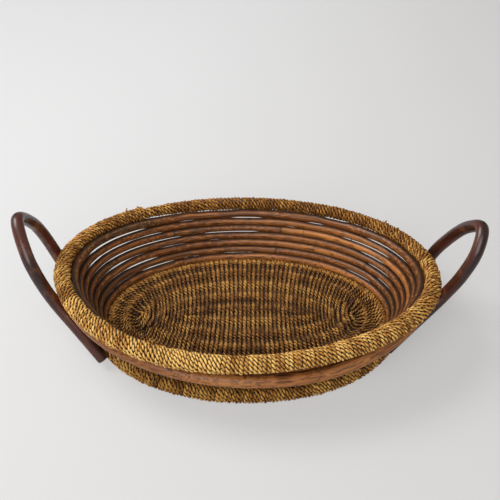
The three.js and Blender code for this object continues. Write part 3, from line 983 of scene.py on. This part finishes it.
@dataclass
class RimRoll(SubAssembly):
    """The rim: two hoops under a winding in two lengths.

    Each of its tips holds the angle round the rim and the angle about the roll in degrees, how long the tip
    is and how far it leans along the rim.
    """

    half_wide: float = 11.5
    half_high: float = 8.8
    tilt: float = math.radians(-24.5)
    join_right: float = math.radians(37.0)
    join_left: float = math.radians(128.25)
    cord_radius: float = 2.8
    pitch: float = 4.9
    lay_length: float = 9.4
    steps_per_turn: int = 36
    painted_back_shade: float = 0.34
    seeds: tuple = (11, 12)
    tip_points: int = 6
    tip_out: float = 0.6
    tip_depth: float = 1.2
    tip_curl: float = 0.12
    back_swells: tuple = ((1.0, 45.0, -1.3), (0.55, 60.0, 0.4), (0.0, 30.0, -0.5))
    front_swells: tuple = ((0.0, 8.0, 1.2), (0.0, 70.0, 1.2), (1.0, 7.0, 1.3))
    tips: tuple = (
        (128.0, 75.0, 8.0, 0.5), (134.0, 60.0, 9.0, -0.4), (207.0, 100.0, 14.0, 1.0),
        (210.0, 75.0, 11.0, 0.9), (37.0, 95.0, 8.0, -0.5), (30.0, 45.0, 7.0, 0.6),
        (12.0, 20.0, 7.0, -0.6), (168.0, 50.0, 7.0, 0.7), (248.0, 115.0, 7.0, 0.9),
        (305.0, 60.0, 7.0, -0.8),
    )

    def build(self) -> None:
        """Winds both lengths."""
        right, left = self.join_right, self.join_left
        for name, start, stop, seed, swells in (
            ("rim_wrap_back", right, left, self.seeds[0], self.back_swells),
            ("rim_wrap_front", left, right + FULL_TURN, self.seeds[1], self.front_swells),
        ):
            winding = Winding(
                SHAPE.rim(), self.half_wide, self.half_high, self.tilt, self.pitch, self.cord_radius,
                self.lay_length, self.steps_per_turn, seed, swells=swells, painted_back_shade=self.painted_back_shade,
            )
            path = winding.path(start, stop)
            if name == "rim_wrap_front":
                self._tips(path)
            self.skin.cover(name + "_cord", path, winding.size(), self.finish, "seagrass_rim", [name])

    def _tips(self, path: PathMesh) -> None:
        """Adds the cord ends that stick out of the winding.

        Args:
            path: takes the ends.
        """
        line = SHAPE.rim()
        for angle, about, length, lean in self.tips:
            at, turned = np.array([math.radians(angle)]), math.radians(about)
            section = self.half_wide * math.cos(turned), self.half_high * math.sin(turned)
            out, rise = tilted(*section, self.tilt)
            skin_point = line.place(at, np.array([out]), np.array([rise]))[0]
            away = unit(skin_point - line.point(at)[0])
            along = unit(line.point(at + 0.01)[0] - line.point(at)[0])
            share = np.linspace(0, 1, self.tip_points)[:, None]
            heading = unit(along * lean + away * self.tip_out)
            points = skin_point - away * self.cord_radius * self.tip_depth + length * share * heading
            points[:, 2] += self.tip_curl * length * share[:, 0] ** 2
            path.add(points, away, 0.95, 0.75 - 0.5 * share[:, 0])


@dataclass
class FootRing(SubAssembly):
    """The foot: a wound hoop that the basket stands on."""

    half_wide: float = 9.4
    half_high: float = 9.9
    out: float = 1.7
    lift: float = 0.5
    cord_radius: float = 2.8
    pitch: float = 4.7
    lay_length: float = 10.6
    square: float = 0.52
    steps_per_turn: int = 30
    seed: int = 21

    def build(self) -> None:
        """Winds the foot ring."""
        middle = SHAPE.foot()
        line = OvalLine(
            middle.half_length + self.out / 2, middle.half_width + self.out, self.half_high + self.lift
        )
        winding = Winding(
            line, self.half_wide, self.half_high, 0.0, self.pitch, self.cord_radius, self.lay_length,
            self.steps_per_turn, self.seed, square=self.square,
        )
        path = winding.path(math.pi / 2, math.pi / 2 + FULL_TURN)
        self.skin.cover("foot_wrap_cord", path, winding.size(), self.finish, "seagrass_foot", ["foot_wrap"])


@dataclass
class WallHoops(SubAssembly):
    """Seven cane hoops one below the other, each of a few lengths, touching but for some slits.

    Each row of slits, one for a hoop and one for the border, holds the first angle, the last angle and the
    width of places where it stands apart from the hoop above. Joints are the angles where a length of cane
    starts, and tones the lengths' shades. Angles are in degrees.
    """

    spacing: float = 10.9
    top_reach: float = 7.6
    step: float = 4.0
    sides: int = 16
    joint_gap: float = 0.5
    slit_ease: float = 5.0
    slit_share: float = 0.82
    height_wander: Wander = (80.0, 0.15)
    side_wander: Wander = (60.0, 0.25)
    swell_wander: Wander = (45.0, 0.02)
    tone_wander: Wander = (60.0, 0.14)
    front: tuple = (190, 350)
    front_slit: float = 1.1
    front_limit: float = 0.35
    front_wave: float = 9.0
    slit_seed: int = 70
    first_knot: tuple = (60, 140)
    knot_gap: tuple = (150, 260)
    plain_end: float = 30.0
    knot_swell: float = 0.03
    knot_mark: float = 0.8
    joint_mark: float = 0.9
    # painted light and shade: paler on the right of the wall, darker on the left
    painted_right_light: float = 0.28
    end_dull: float = 0.13
    knot_reach: float = 3.2
    joint_reach: float = 2.5
    slits: tuple = (
        ((94, 112, 4.6), (112, 127, 3.0), (50, 62, 5.2), (33, 49, 2.4), (63, 92, 2.2)),
        ((131, 160, 1.8), (109, 117, 1.3), (85, 97, 2.4), (60, 68, 1.9), (13, 39, 2.2)),
        ((155, 166, 1.5), (140, 154, 0.8), (124, 132, 0.9), (70, 77, 1.5), (25, 51, 2.1)),
        ((116, 152, 1.3), (86, 108, 2.2), (26, 40, 2.2), (60, 64, 0.8)),
        ((145, 155, 1.3), (114, 126, 1.1), (100, 107, 1.4), (18, 34, 2.1)),
        ((131, 146, 1.6), (75, 84, 0.9), (104, 109, 0.7), (12, 26, 2.2)),
        ((123, 138, 1.6), (109, 119, 1.0), (86, 101, 1.8), (28, 44, 2.0)),
        ((118, 124, 0.8), (22, 40, 1.8)),
    )
    joints: tuple = (
        (200.0, 330.0), (24.0, 215.0), (77.25, 119.75, 250.0), (150.0, 300.0), (34.0, 240.0),
        (78.0, 275.0), (160.0, 310.0),
    )
    tones: tuple = (
        (0.42, 0.42), (0.62, 0.55), (0.48, 0.6, 0.92), (0.45, 0.5), (0.62, 0.6), (0.52, 0.45), (0.6, 0.65),
    )

    def build(self) -> None:
        """Bends each hoop from its lengths of cane."""
        for hoop in range(SHAPE.cane_count):
            path = PathMesh()
            joints = [math.radians(v) for v in self.joints[hoop]]
            for i, start in enumerate(joints):
                stop = joints[i + 1] if i + 1 < len(joints) else joints[0] + FULL_TURN
                self._length(path, hoop, i, start, stop)
            size = StrandSize(self.spacing / 2, sides=self.sides)
            name = f"wall_cane_{hoop + 1}"
            self.skin.cover(name + "_bent", path, size, self.finish, "cane_dark", [name])

    def _slit_width(self, pair: int, angle: np.ndarray) -> np.ndarray:
        """Gives how far a hoop stands from the one above it.

        Args:
            pair: the lower hoop's number, from 0; past the last hoop, the floor's border.
            angle: angles in radians.

        Returns:
            Widths.
        """
        rng = np.random.default_rng(self.slit_seed + pair)
        degrees = np.arange(0.0, 361.0)
        turned = np.degrees(angle) % 360
        front = np.interp(turned, degrees, smooth_wander(rng, degrees, self.front_wave))
        width = self.front_slit * np.clip(front - self.front_limit, 0, 1)
        width = width * ((turned > self.front[0]) & (turned < self.front[1]))
        for start, stop, widest in self.slits[pair]:
            rise = np.clip((turned - start) / self.slit_ease + 0.5, 0, 1)
            fall = np.clip((stop - turned) / self.slit_ease + 0.5, 0, 1)
            width = np.maximum(width, self.slit_share * widest * rise * fall)
        return width

    def _painted_light_by_angle(self, angle: np.ndarray) -> np.ndarray:
        """Gives how much paler the cane is at angles: painted light on the right, painted shade on the left,
        duller at both ends.
        """
        across = np.cos(angle)
        return self.painted_right_light * across * np.abs(np.sin(angle)) - self.end_dull * across**2

    def _length(self, path: PathMesh, hoop: int, number: int, start: float, stop: float) -> None:
        """Adds one length of cane.

        Args:
            path: takes the length.
            hoop: the hoop's number from the top, from 0.
            number: the length's number in its hoop.
            start: first angle.
            stop: last angle.
        """
        rng = np.random.default_rng(hoop * 10 + number)
        share = hoop / (SHAPE.cane_count - 1)
        line = SHAPE.wall(share)
        gap = self.joint_gap / 2 / line.half_length
        count = int(line.length(start, stop) / self.step)
        angle = line.even_angles(start + gap, stop - gap, count)
        walked = np.linspace(0, line.length(start, stop), count)
        above = (self.top_reach if hoop == 0 else self.spacing / 2) - self._slit_width(hoop, angle) / 2
        below = self.spacing / 2 - self._slit_width(hoop + 1, angle) / 2
        radius = (above + below) / 2
        up = (above - below) / 2 + smooth_wander(rng, walked, *self.height_wander)
        out = line.outward(angle)
        slope, away = SHAPE.wall_sides(angle, out)
        aside = smooth_wander(rng, walked, *self.side_wander)
        points = line.point(angle) + slope * up[:, None] + away * aside[:, None]
        knots = np.zeros(count)
        at = rng.uniform(*self.first_knot)
        while at < walked[-1] - self.plain_end:
            knots = np.maximum(knots, np.exp(-(((walked - at) / self.knot_reach) ** 2)))
            at += rng.uniform(*self.knot_gap)
        ends = np.minimum(walked, walked[-1] - walked)
        cuts = self.joint_mark * np.exp(-((ends / self.joint_reach) ** 2))
        joint = np.maximum(knots * self.knot_mark, cuts)
        swell = radius / (self.spacing / 2)
        swell = swell * (1 + smooth_wander(rng, walked, *self.swell_wander) + self.knot_swell * knots)
        # the cane's tone takes painted light and shade by angle
        shade = self.tones[hoop][number] + self._painted_light_by_angle(angle)
        shade = shade + smooth_wander(rng, walked, *self.tone_wander)
        path.add(points, out, np.clip(shade, 0, 1), swell, joint)


@dataclass
class WovenFloor(SubAssembly):
    """The floor: oval rods and a wound border, with cords woven over and under them.

    Its own skin and finish are the cords'; the shaded finish is for those of the lower face.
    """

    pole: Skin
    cane: bpy.types.Material
    shaded: bpy.types.Material
    rod_radius: float = 1.9
    rod_sides: int = 10
    rod_step: float = 4.0
    rod_tone: float = 0.3
    border_radius: float = 4.6
    border_cord_radius: float = 2.1
    border_pitch: float = 4.2
    border_lay_length: float = 7.5
    border_steps_per_turn: int = 12
    border_inside: float = 3.3
    border_seed: int = 31
    border_loose: Wander = (0.45, 0.15)
    border_lumps: Wander = (9.0, 0.1)
    weave_seed: int = 41
    rod_count: int = 4
    inner_length_share: float = 0.505
    inner_half_width: float = 13.5
    cord_radius: float = 2.15
    cord_spacing: float = 6.6
    closest: tuple = (3.7, 2.1)
    cut_back: tuple = (1.5, 0.0)
    end_reach: float = 12.0
    straightness: float = 0.835
    end_pull: float = 0.085
    end_power: float = 8.0
    middles: tuple = (2.1, -3.1)
    waves: tuple = (1.9, -0.9)
    squeezes: tuple = (0.26, 0.0)
    full_room: tuple = (5.5, 3.15)
    steps: tuple = (1.3, 1.8)
    widest_room: float = 9.0
    room_window: int = 9
    lay_length: float = 9.2
    height_wander: Wander = (11.0, 0.15)
    side_wander: Wander = (13.0, 0.4)
    tone_wander: Wander = (9.0, 0.36)
    tone_spread: float = 0.16
    swell_wander: Wander = (7.0, 0.06)
    twist_wander: Wander = (12.0, 0.8)
    fill_limits: tuple = (0.72, 1.7)
    tip_length: float = 5.0
    tip_height: float = 0.2
    tip_size: float = 0.6
    edge_height: float = 0.35
    least_points: int = 30
    course_step: float = 1.2
    top_rank: int = 8
    shortest: int = 5
    share_limits: tuple = (-0.125, 1.2)
    halvings: int = 30

    def half_length_at(self, share: np.ndarray) -> np.ndarray:
        """Gives a rod's half length at a share of the way out."""
        full = SHAPE.border_half_length - self.border_inside
        return full * (self.inner_length_share + (1 - self.inner_length_share) * share)

    def half_width_at(self, share: np.ndarray) -> np.ndarray:
        """Gives a rod's half width at a share of the way out."""
        full = SHAPE.border_half_width - self.border_inside
        return self.inner_half_width + (full - self.inner_half_width) * share

    def build(self) -> None:
        """Makes the rods, the border and the cords."""
        self._rods()
        winding = Winding(
            SHAPE.border(), self.border_radius, self.border_radius, 0.0, self.border_pitch,
            self.border_cord_radius, self.border_lay_length, self.border_steps_per_turn, self.border_seed,
            loose_wander=self.border_loose, lump_wander=self.border_lumps,
        )
        path = winding.path(-math.pi / 2, 1.5 * math.pi)
        size = winding.size()
        self.skin.cover("floor_border_cord", path, size, self.finish, "seagrass_floor", ["floor_border"])
        rng = np.random.default_rng(self.weave_seed)
        rows = [f"floor_row_{i + 1}" for i in range(self.rod_count + 1)]
        size = two_ply(self.cord_radius, self.lay_length)
        for layer, name in enumerate(("floor_woven_over", "floor_woven_under")):
            courses = self._courses(layer)
            rooms = self._rooms([course for course, _ in courses])
            halves = ("_left", "_right") if layer == 0 else ("",)
            paths = {half: PathMesh() for half in halves}
            for (course, cut), room in zip(courses, rooms):
                half = halves[int(course[0, 0] >= 0)] if layer == 0 else ""
                self._lay(paths[half], course, cut, room, layer, rng)
            finish = self.finish if layer == 0 else self.shaded
            for half, path in paths.items():
                self.skin.cover(name + half, path, size, finish, "seagrass_floor", rows)

    def _rods(self) -> None:
        """Bends the oval rods."""
        for i in range(self.rod_count):
            share = i / self.rod_count
            half_length, half_width = self.half_length_at(share), self.half_width_at(share)
            line = OvalLine(half_length, half_width, SHAPE.floor_height)
            count = int(line.length(0, FULL_TURN) / self.rod_step)
            angle = line.even_angles(-math.pi / 2, 1.5 * math.pi, count)
            path = PathMesh()
            path.add(line.point(angle), line.outward(angle), self.rod_tone)
            name, size = f"floor_rod_{i + 1}", StrandSize(self.rod_radius, sides=self.rod_sides)
            self.pole.cover(name + "_bent", path, size, self.cane, "cane_dark", [name])

    def _courses(self, layer: int) -> list[tuple[np.ndarray, bool]]:
        """Plans the cords of one face of the floor, seen from above.

        A cord that comes too near to its neighbour towards the ends of the oval stops there.

        Args:
            layer: 0 for the upper face, 1 for the lower, whose cords lie between the upper ones.

        Returns:
            The cords' courses, each with whether it was cut short.
        """
        border = SHAPE.border()
        count = int(border.length(0, math.pi) / self.cord_spacing)
        angles = border.even_angles(0.0, math.pi, 2 * count + 1)[layer::2]
        taken = np.zeros((0, 2))
        courses = []
        steps = [abs(i - len(angles) // 2) for i in range(len(angles))]
        ranks = [min(step & -step, self.top_rank) if step else self.top_rank for step in steps]
        for _, angle in sorted(zip(ranks, angles), key=lambda pair: (-pair[0], abs(math.cos(pair[1])))):
            end = border.point(np.array(angle))
            left = 1 - np.linspace(0, 1, max(self.least_points, int(end[1] / self.course_step)))
            far = abs(end[0]) / SHAPE.border_half_length
            inner = self.straightness * (far - self.end_pull * far**self.end_power)
            inner = math.copysign(inner * SHAPE.border_half_length, end[0])
            if end[1] < 1:
                inner -= math.copysign(self.end_reach, inner)
            x = inner + (end[0] - inner) * left**2
            course = np.stack([x, end[1] * left], -1)
            tight = []
            if len(taken):
                apart = np.linalg.norm(course[:, None, :] - taken[None], axis=2).min(1)
                tight = np.nonzero(apart < self.closest[layer])[0]
            if len(tight) == 0 and end[1] > 1:
                taken = np.concatenate([taken, course])
                courses.append((np.concatenate([course, (course * [1, -1])[::-1][1:]]), False))
                continue
            walked = lengths_along(course)
            stop = walked[tight[0]] - self.cut_back[layer] if len(tight) else walked[-1]
            course = course[walked <= max(stop, 0)]
            if len(course) < self.shortest:
                continue
            taken = np.concatenate([taken, course])
            courses.append((course, True))
            if end[1] > 1:
                courses.append((course * [1, -1], True))
        return courses

    def _rooms(self, courses: list[np.ndarray]) -> list[np.ndarray]:
        """Finds how much room each cord has between its neighbours.

        Args:
            courses: the cords' courses.

        Returns:
            For each course, the room at each of its points.
        """
        owners = np.concatenate([np.full(len(course), i) for i, course in enumerate(courses)])
        tree = KDTree(len(owners))
        for i, (x, y) in enumerate(np.concatenate(courses)):
            tree.insert((x, y, 0), i)
        tree.balance()
        rooms = []
        for own, course in enumerate(courses):
            heading = np.gradient(course, axis=0)
            room = np.zeros(len(course))
            for k, ((x, y), (dx, dy)) in enumerate(zip(course, heading)):
                near = [self.widest_room, self.widest_room]
                for place, index, apart in tree.find_range((x, y, 0), self.widest_room):
                    if owners[index] != own:
                        side = int((place[0] - x) * dy > (place[1] - y) * dx)
                        near[side] = min(near[side], apart)
                room[k] = sum(near) / 2
            window = min(self.room_window, len(room))
            padded = np.pad(room, window // 2, mode="edge")
            rooms.append(np.convolve(padded, np.ones(window) / window, "same")[window // 2 :][: len(room)])
        return rooms

    def _ring_share(self, line: np.ndarray) -> np.ndarray:
        """Finds how far out among the rods some floor points lie.

        Args:
            line: the points, seen from above.

        Returns:
            0 on the inner rod, 1 on the border, and below 0 inside the inner rod.
        """
        low, high = (np.full(len(line), limit) for limit in self.share_limits)
        for _ in range(self.halvings):
            middle = (low + high) / 2
            out = (line[:, 0] / self.half_length_at(middle)) ** 2
            out += (line[:, 1] / self.half_width_at(middle)) ** 2
            low, high = np.where(out > 1, middle, low), np.where(out > 1, high, middle)
        return (low + high) / 2

    def _lay(
        self, path: PathMesh, course: np.ndarray, cut: bool, room: np.ndarray, layer: int,
        rng: np.random.Generator,
    ) -> None:
        """Lays one cord along its course, bent round the rods that it crosses.

        Args:
            path: takes the cord.
            course: its course seen from above.
            cut: whether it ends inside the floor, where its tip is tucked away.
            room: its room between its neighbours.
            layer: 0 for the upper face, 1 for the lower.
            rng: the random source.
        """
        walked = lengths_along(np.concatenate([course, np.zeros((len(course), 1))], 1))
        even = np.linspace(0, walked[-1], max(8, int(walked[-1] / self.steps[layer])))
        line = along_route(course, walked, even)
        share = self._ring_share(line)
        bend = np.cos(FULL_TURN * self.rod_count * share)
        sink = np.clip((1.0 - share) * self.rod_count * 3, 0, 1)
        tucked = cut and layer == 0
        tip = np.clip((walked[-1] - even) / self.tip_length, 0, 1) if tucked else np.ones(len(even))
        calm = self.edge_height + (1 - self.edge_height) * sink
        z = (self.middles[layer] + self.waves[layer] * bend) * calm
        z = z * (self.tip_height + (1 - self.tip_height) * tip)
        z = SHAPE.floor_height + z + smooth_wander(rng, even, *self.height_wander)
        shift = smooth_wander(rng, even, *self.side_wander)
        points = np.stack([line[:, 0] + shift, line[:, 1], z], -1)
        tone = 0.45 + self.tone_spread * rng.uniform(-1, 1) + smooth_wander(rng, even, *self.tone_wander)
        fill = np.clip(np.interp(even, walked, room) / self.full_room[layer], *self.fill_limits)
        swell = fill * (1 + self.squeezes[layer] * bend)
        swell = swell * (1 + smooth_wander(rng, even, *self.swell_wander))
        turn = rng.uniform(0, FULL_TURN) + smooth_wander(rng, even, *self.twist_wander)
        swell = swell * (self.tip_size + (1 - self.tip_size) * tip)
        path.add(points, np.array([0.0, 0.0, 1.0]), np.clip(tone, 0, 1), swell, turn=turn)


@dataclass
class FrontRail(SubAssembly):
    """The thicker pole outside the wall, under the rim, which sags towards the right.

    Its stations, even between the angles first and last, say how far down the wall it lies.
    """

    radius: float = 7.9
    stations: tuple = (0.1, 0.13, 0.27, 0.47, 0.58, 0.34, 0.12)
    first: float = math.radians(-166)
    last: float = math.radians(-12)
    start: float = math.radians(-157.7)
    stop: float = math.radians(-22.0)
    stand_out: float = 12.7
    steps: int = 130
    sides: int = 24
    seed: int = 51
    thinning: float = 0.02
    thinning_wave: float = 60.0
    guide_share: float = 0.3
    tone_wander: Wander = (70.0, 0.25)

    def _station(self, angle: float) -> float:
        """Follows a smooth curve through the stations.

        Args:
            angle: an angle about the upright axis.

        Returns:
            The share of the way down the wall.
        """
        last = len(self.stations) - 1
        at = (angle - self.first) / (self.last - self.first) * last
        i = min(int(at), last - 1)
        t = at - i
        a, b, c, d = (self.stations[min(max(k, 0), last)] for k in range(i - 1, i + 3))
        lean_in, lean_out = (c - a) / 2, (d - b) / 2
        cubed, squared = 2 * b - 2 * c + lean_in + lean_out, -3 * b + 3 * c - 2 * lean_in - lean_out
        return cubed * t**3 + squared * t**2 + lean_in * t + b

    def build(self) -> None:
        """Bends the rail."""
        angle = SHAPE.wall(self.guide_share).even_angles(self.start, self.stop, self.steps)
        lines = [SHAPE.wall(self._station(a)) for a in angle]
        place = np.array([line.point(a) for line, a in zip(lines, angle)])
        out = np.array([line.outward(a) for line, a in zip(lines, angle)])
        _, away = SHAPE.wall_sides(angle, out)
        points = place + away * self.stand_out
        walked = lengths_along(points)
        rng = np.random.default_rng(self.seed)
        swell = 1 - self.thinning * (1 + smooth_wander(rng, walked, self.thinning_wave)) / 2
        tone = 0.6 + smooth_wander(rng, walked, *self.tone_wander)
        path = PathMesh()
        path.add(points, away, np.clip(tone, 0, 1), swell)
        size = StrandSize(self.radius, sides=self.sides)
        self.skin.cover("front_rail_bent", path, size, self.finish, "cane_rail", ["front_rail"])


@dataclass
class LoopHandle(SubAssembly):
    """A bent pole that stands on the foot ring's side and leans on the rim."""

    name: str
    knots: tuple
    radius: float = 7.7
    stations: int = 150
    sides: int = 22
    end_clear: float = 3.0
    rounding: tuple = (0.0, 0.35, 1.0, 2.2)
    rounding_swell: tuple = (0.93, 0.97, 0.993, 1.0)
    middle_height: float = 60.0

    def build(self) -> None:
        """Bends the handle."""
        route = rounded_route(np.array(self.knots), self.stations)
        walked = lengths_along(route)
        ends = np.array(self.rounding)
        kept = walked[(walked > self.end_clear) & (walked < walked[-1] - self.end_clear)]
        trim = np.concatenate([ends, kept, walked[-1] - ends[::-1]])
        points = along_route(route, walked, trim)
        swell = np.interp(np.minimum(trim, walked[-1] - trim), ends, self.rounding_swell)
        path = PathMesh()
        path.add(points, unit(points - np.array([0.0, 0.0, self.middle_height])), 0.5, swell)
        size = StrandSize(self.radius, sides=self.sides)
        self.skin.cover(self.name + "_bent", path, size, self.finish, "handle_pole", [self.name])


HANDLE_KNOTS = {
    "handle_left": (
        (-176.26, -77.54, 12.0), (-205.24, -66.3, 49.91), (-234.23, -55.05, 87.83),
        (-249.53, -55.41, 125.85), (-259.26, -46.94, 147.52), (-273.68, -11.61, 172.98),
        (-266.47, 26.25, 144.11), (-258.62, 36.79, 121.56), (-243.6, 40.0, 83.4),
        (-223.98, 28.8, 47.7), (-204.36, 17.61, 12.0),
    ),
    "handle_right": (
        (172.53, -69.88, 22.64), (206.48, -54.23, 52.11), (240.42, -38.58, 81.59),
        (258.01, -48.15, 122.48), (270.95, -44.86, 153.7), (277.86, -26.21, 172.22),
        (269.34, 3.64, 155.18), (255.53, 26.37, 124.76), (237.72, 42.52, 84.07),
        (220.62, 30.18, 48.03), (203.51, 17.84, 12.0),
    ),
}


@dataclass
class HiddenCores:
    """Hoops inside the windings, and the nails and brads, which keep their plain solids."""

    cane_nodes: tuple = ("rim_core_inner", "rim_core_outer", "foot_core")
    steel_marks: tuple = ("nail", "brad")

    def dress(self, cane: bpy.types.Material, steel: bpy.types.Material) -> None:
        """Gives these solids their materials.

        Args:
            cane: for the hoops.
            steel: for nails and brads.
        """
        for name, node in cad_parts.items():
            if name in self.cane_nodes:
                finish = cane
            elif any(mark in name for mark in self.steel_marks):
                finish = steel
            else:
                continue
            node.data.materials.clear()
            node.data.materials.append(finish)


# Studio and main


@dataclass
class Studio:
    """Pale floor and backdrop in one sheet, soft lights and the camera."""

    camera_place: tuple = (1.84, -948.85, 787.04)
    right: tuple = (0.999995, 0.00181, 0.00259)
    up: tuple = (-0.00316, 0.57357, 0.81915)
    focal_pixels: float = 939.4
    photo_pixels: float = 500.0
    sensor: float = 36.0
    paper_front: float = -6.0
    paper_back: float = 4.0
    paper_side: float = 8.0
    paper_bend: float = 1.5
    paper_top: float = 8.0
    bend_steps: int = 12
    room_light: float = 0.36
    aim: tuple = (0.0, 0.0, 0.05)
    lamps: tuple = (
        ("soft_box", (-1.3, 0.3, 1.7), 1.1, 33.0),
        ("front_fill", (-0.25, -1.9, 1.6), 1.7, 38.0),
    )

    def build(self) -> None:
        """Sets up floor, lights and camera."""
        self._sheet()
        self._lights()
        self._camera()

    def _sheet(self) -> None:
        """Lays the paper: flat on the floor, bent up far behind."""
        profile = [(self.paper_front, 0.0), (self.paper_back, 0.0)]
        for i in range(1, self.bend_steps + 1):
            a = math.pi / 2 * i / self.bend_steps
            up = self.paper_bend * (1 - math.cos(a))
            profile.append((self.paper_back + self.paper_bend * math.sin(a), up))
        profile.append((self.paper_back + self.paper_bend, self.paper_top))
        places, faces = [], []
        for y, z in profile:
            places += [(-self.paper_side, y, z), (self.paper_side, y, z)]
        for i in range(len(profile) - 1):
            faces.append((2 * i, 2 * i + 1, 2 * i + 3, 2 * i + 2))
        mesh = bpy.data.meshes.new("studio_paper")
        mesh.from_pydata(places, [], faces)
        mesh.shade_smooth()
        mesh.materials.append(PaperFinish("studio_paper").make())
        add_object("studio_paper", mesh)

    def _lights(self) -> None:
        """Hangs the soft lamps and lights the room evenly."""
        world = bpy.data.worlds.new("studio")
        bpy.context.scene.world = world
        world.use_nodes = True
        background = world.node_tree.nodes["Background"]
        background.inputs[0].default_value = (1, 1, 1, 1)
        background.inputs[1].default_value = self.room_light
        for name, place, size, watts in self.lamps:
            lamp = bpy.data.lights.new(name, "AREA")
            lamp.size = size
            lamp.energy = watts
            holder = add_object(name, lamp)
            holder.location = place
            holder.rotation_euler = (Vector(self.aim) - Vector(place)).to_track_quat("-Z", "Y").to_euler()

    def _camera(self) -> None:
        """Places the camera where the photograph was taken."""
        camera = bpy.data.cameras.new("camera")
        camera.sensor_width = self.sensor
        camera.lens = self.focal_pixels / self.photo_pixels * self.sensor
        camera.clip_end = 50.0
        holder = add_object("camera", camera)
        right = Vector(self.right).normalized()
        up = Vector(self.up).normalized()
        back = right.cross(up).normalized()
        up = back.cross(right)
        turn = Matrix((right, up, back)).transposed()
        holder.matrix_world = Matrix.Translation(Vector(self.camera_place) * MM) @ turn.to_4x4()
        bpy.context.scene.camera = holder


def main() -> None:
    """Builds the whole basket and its studio."""
    logging.basicConfig(level=logging.INFO, format="%(message)s")
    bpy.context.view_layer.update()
    bpy.context.scene.view_settings.view_transform = "Standard"
    pole, cord = Skin(Lay.POLE), Skin(Lay.TWO_PLY)
    made = {finish.name: finish.make() for finish in FINISHES}
    RimRoll(cord, made["seagrass_rim"]).build()
    FootRing(cord, made["seagrass_foot"]).build()
    WallHoops(pole, made["cane_dark"]).build()
    cords = made["seagrass_floor"], made["seagrass_floor_under_shaded"]
    WovenFloor(cord, cords[0], pole, made["cane_dark"], cords[1]).build()
    FrontRail(pole, made["cane_rail"]).build()
    for name, knots in HANDLE_KNOTS.items():
        LoopHandle(pole, made["handle_pole"], name, knots).build()
    HiddenCores().dress(made["cane_hidden"], made["nail_steel"])
    Studio().build()


if __name__ == "__main__":
    main()
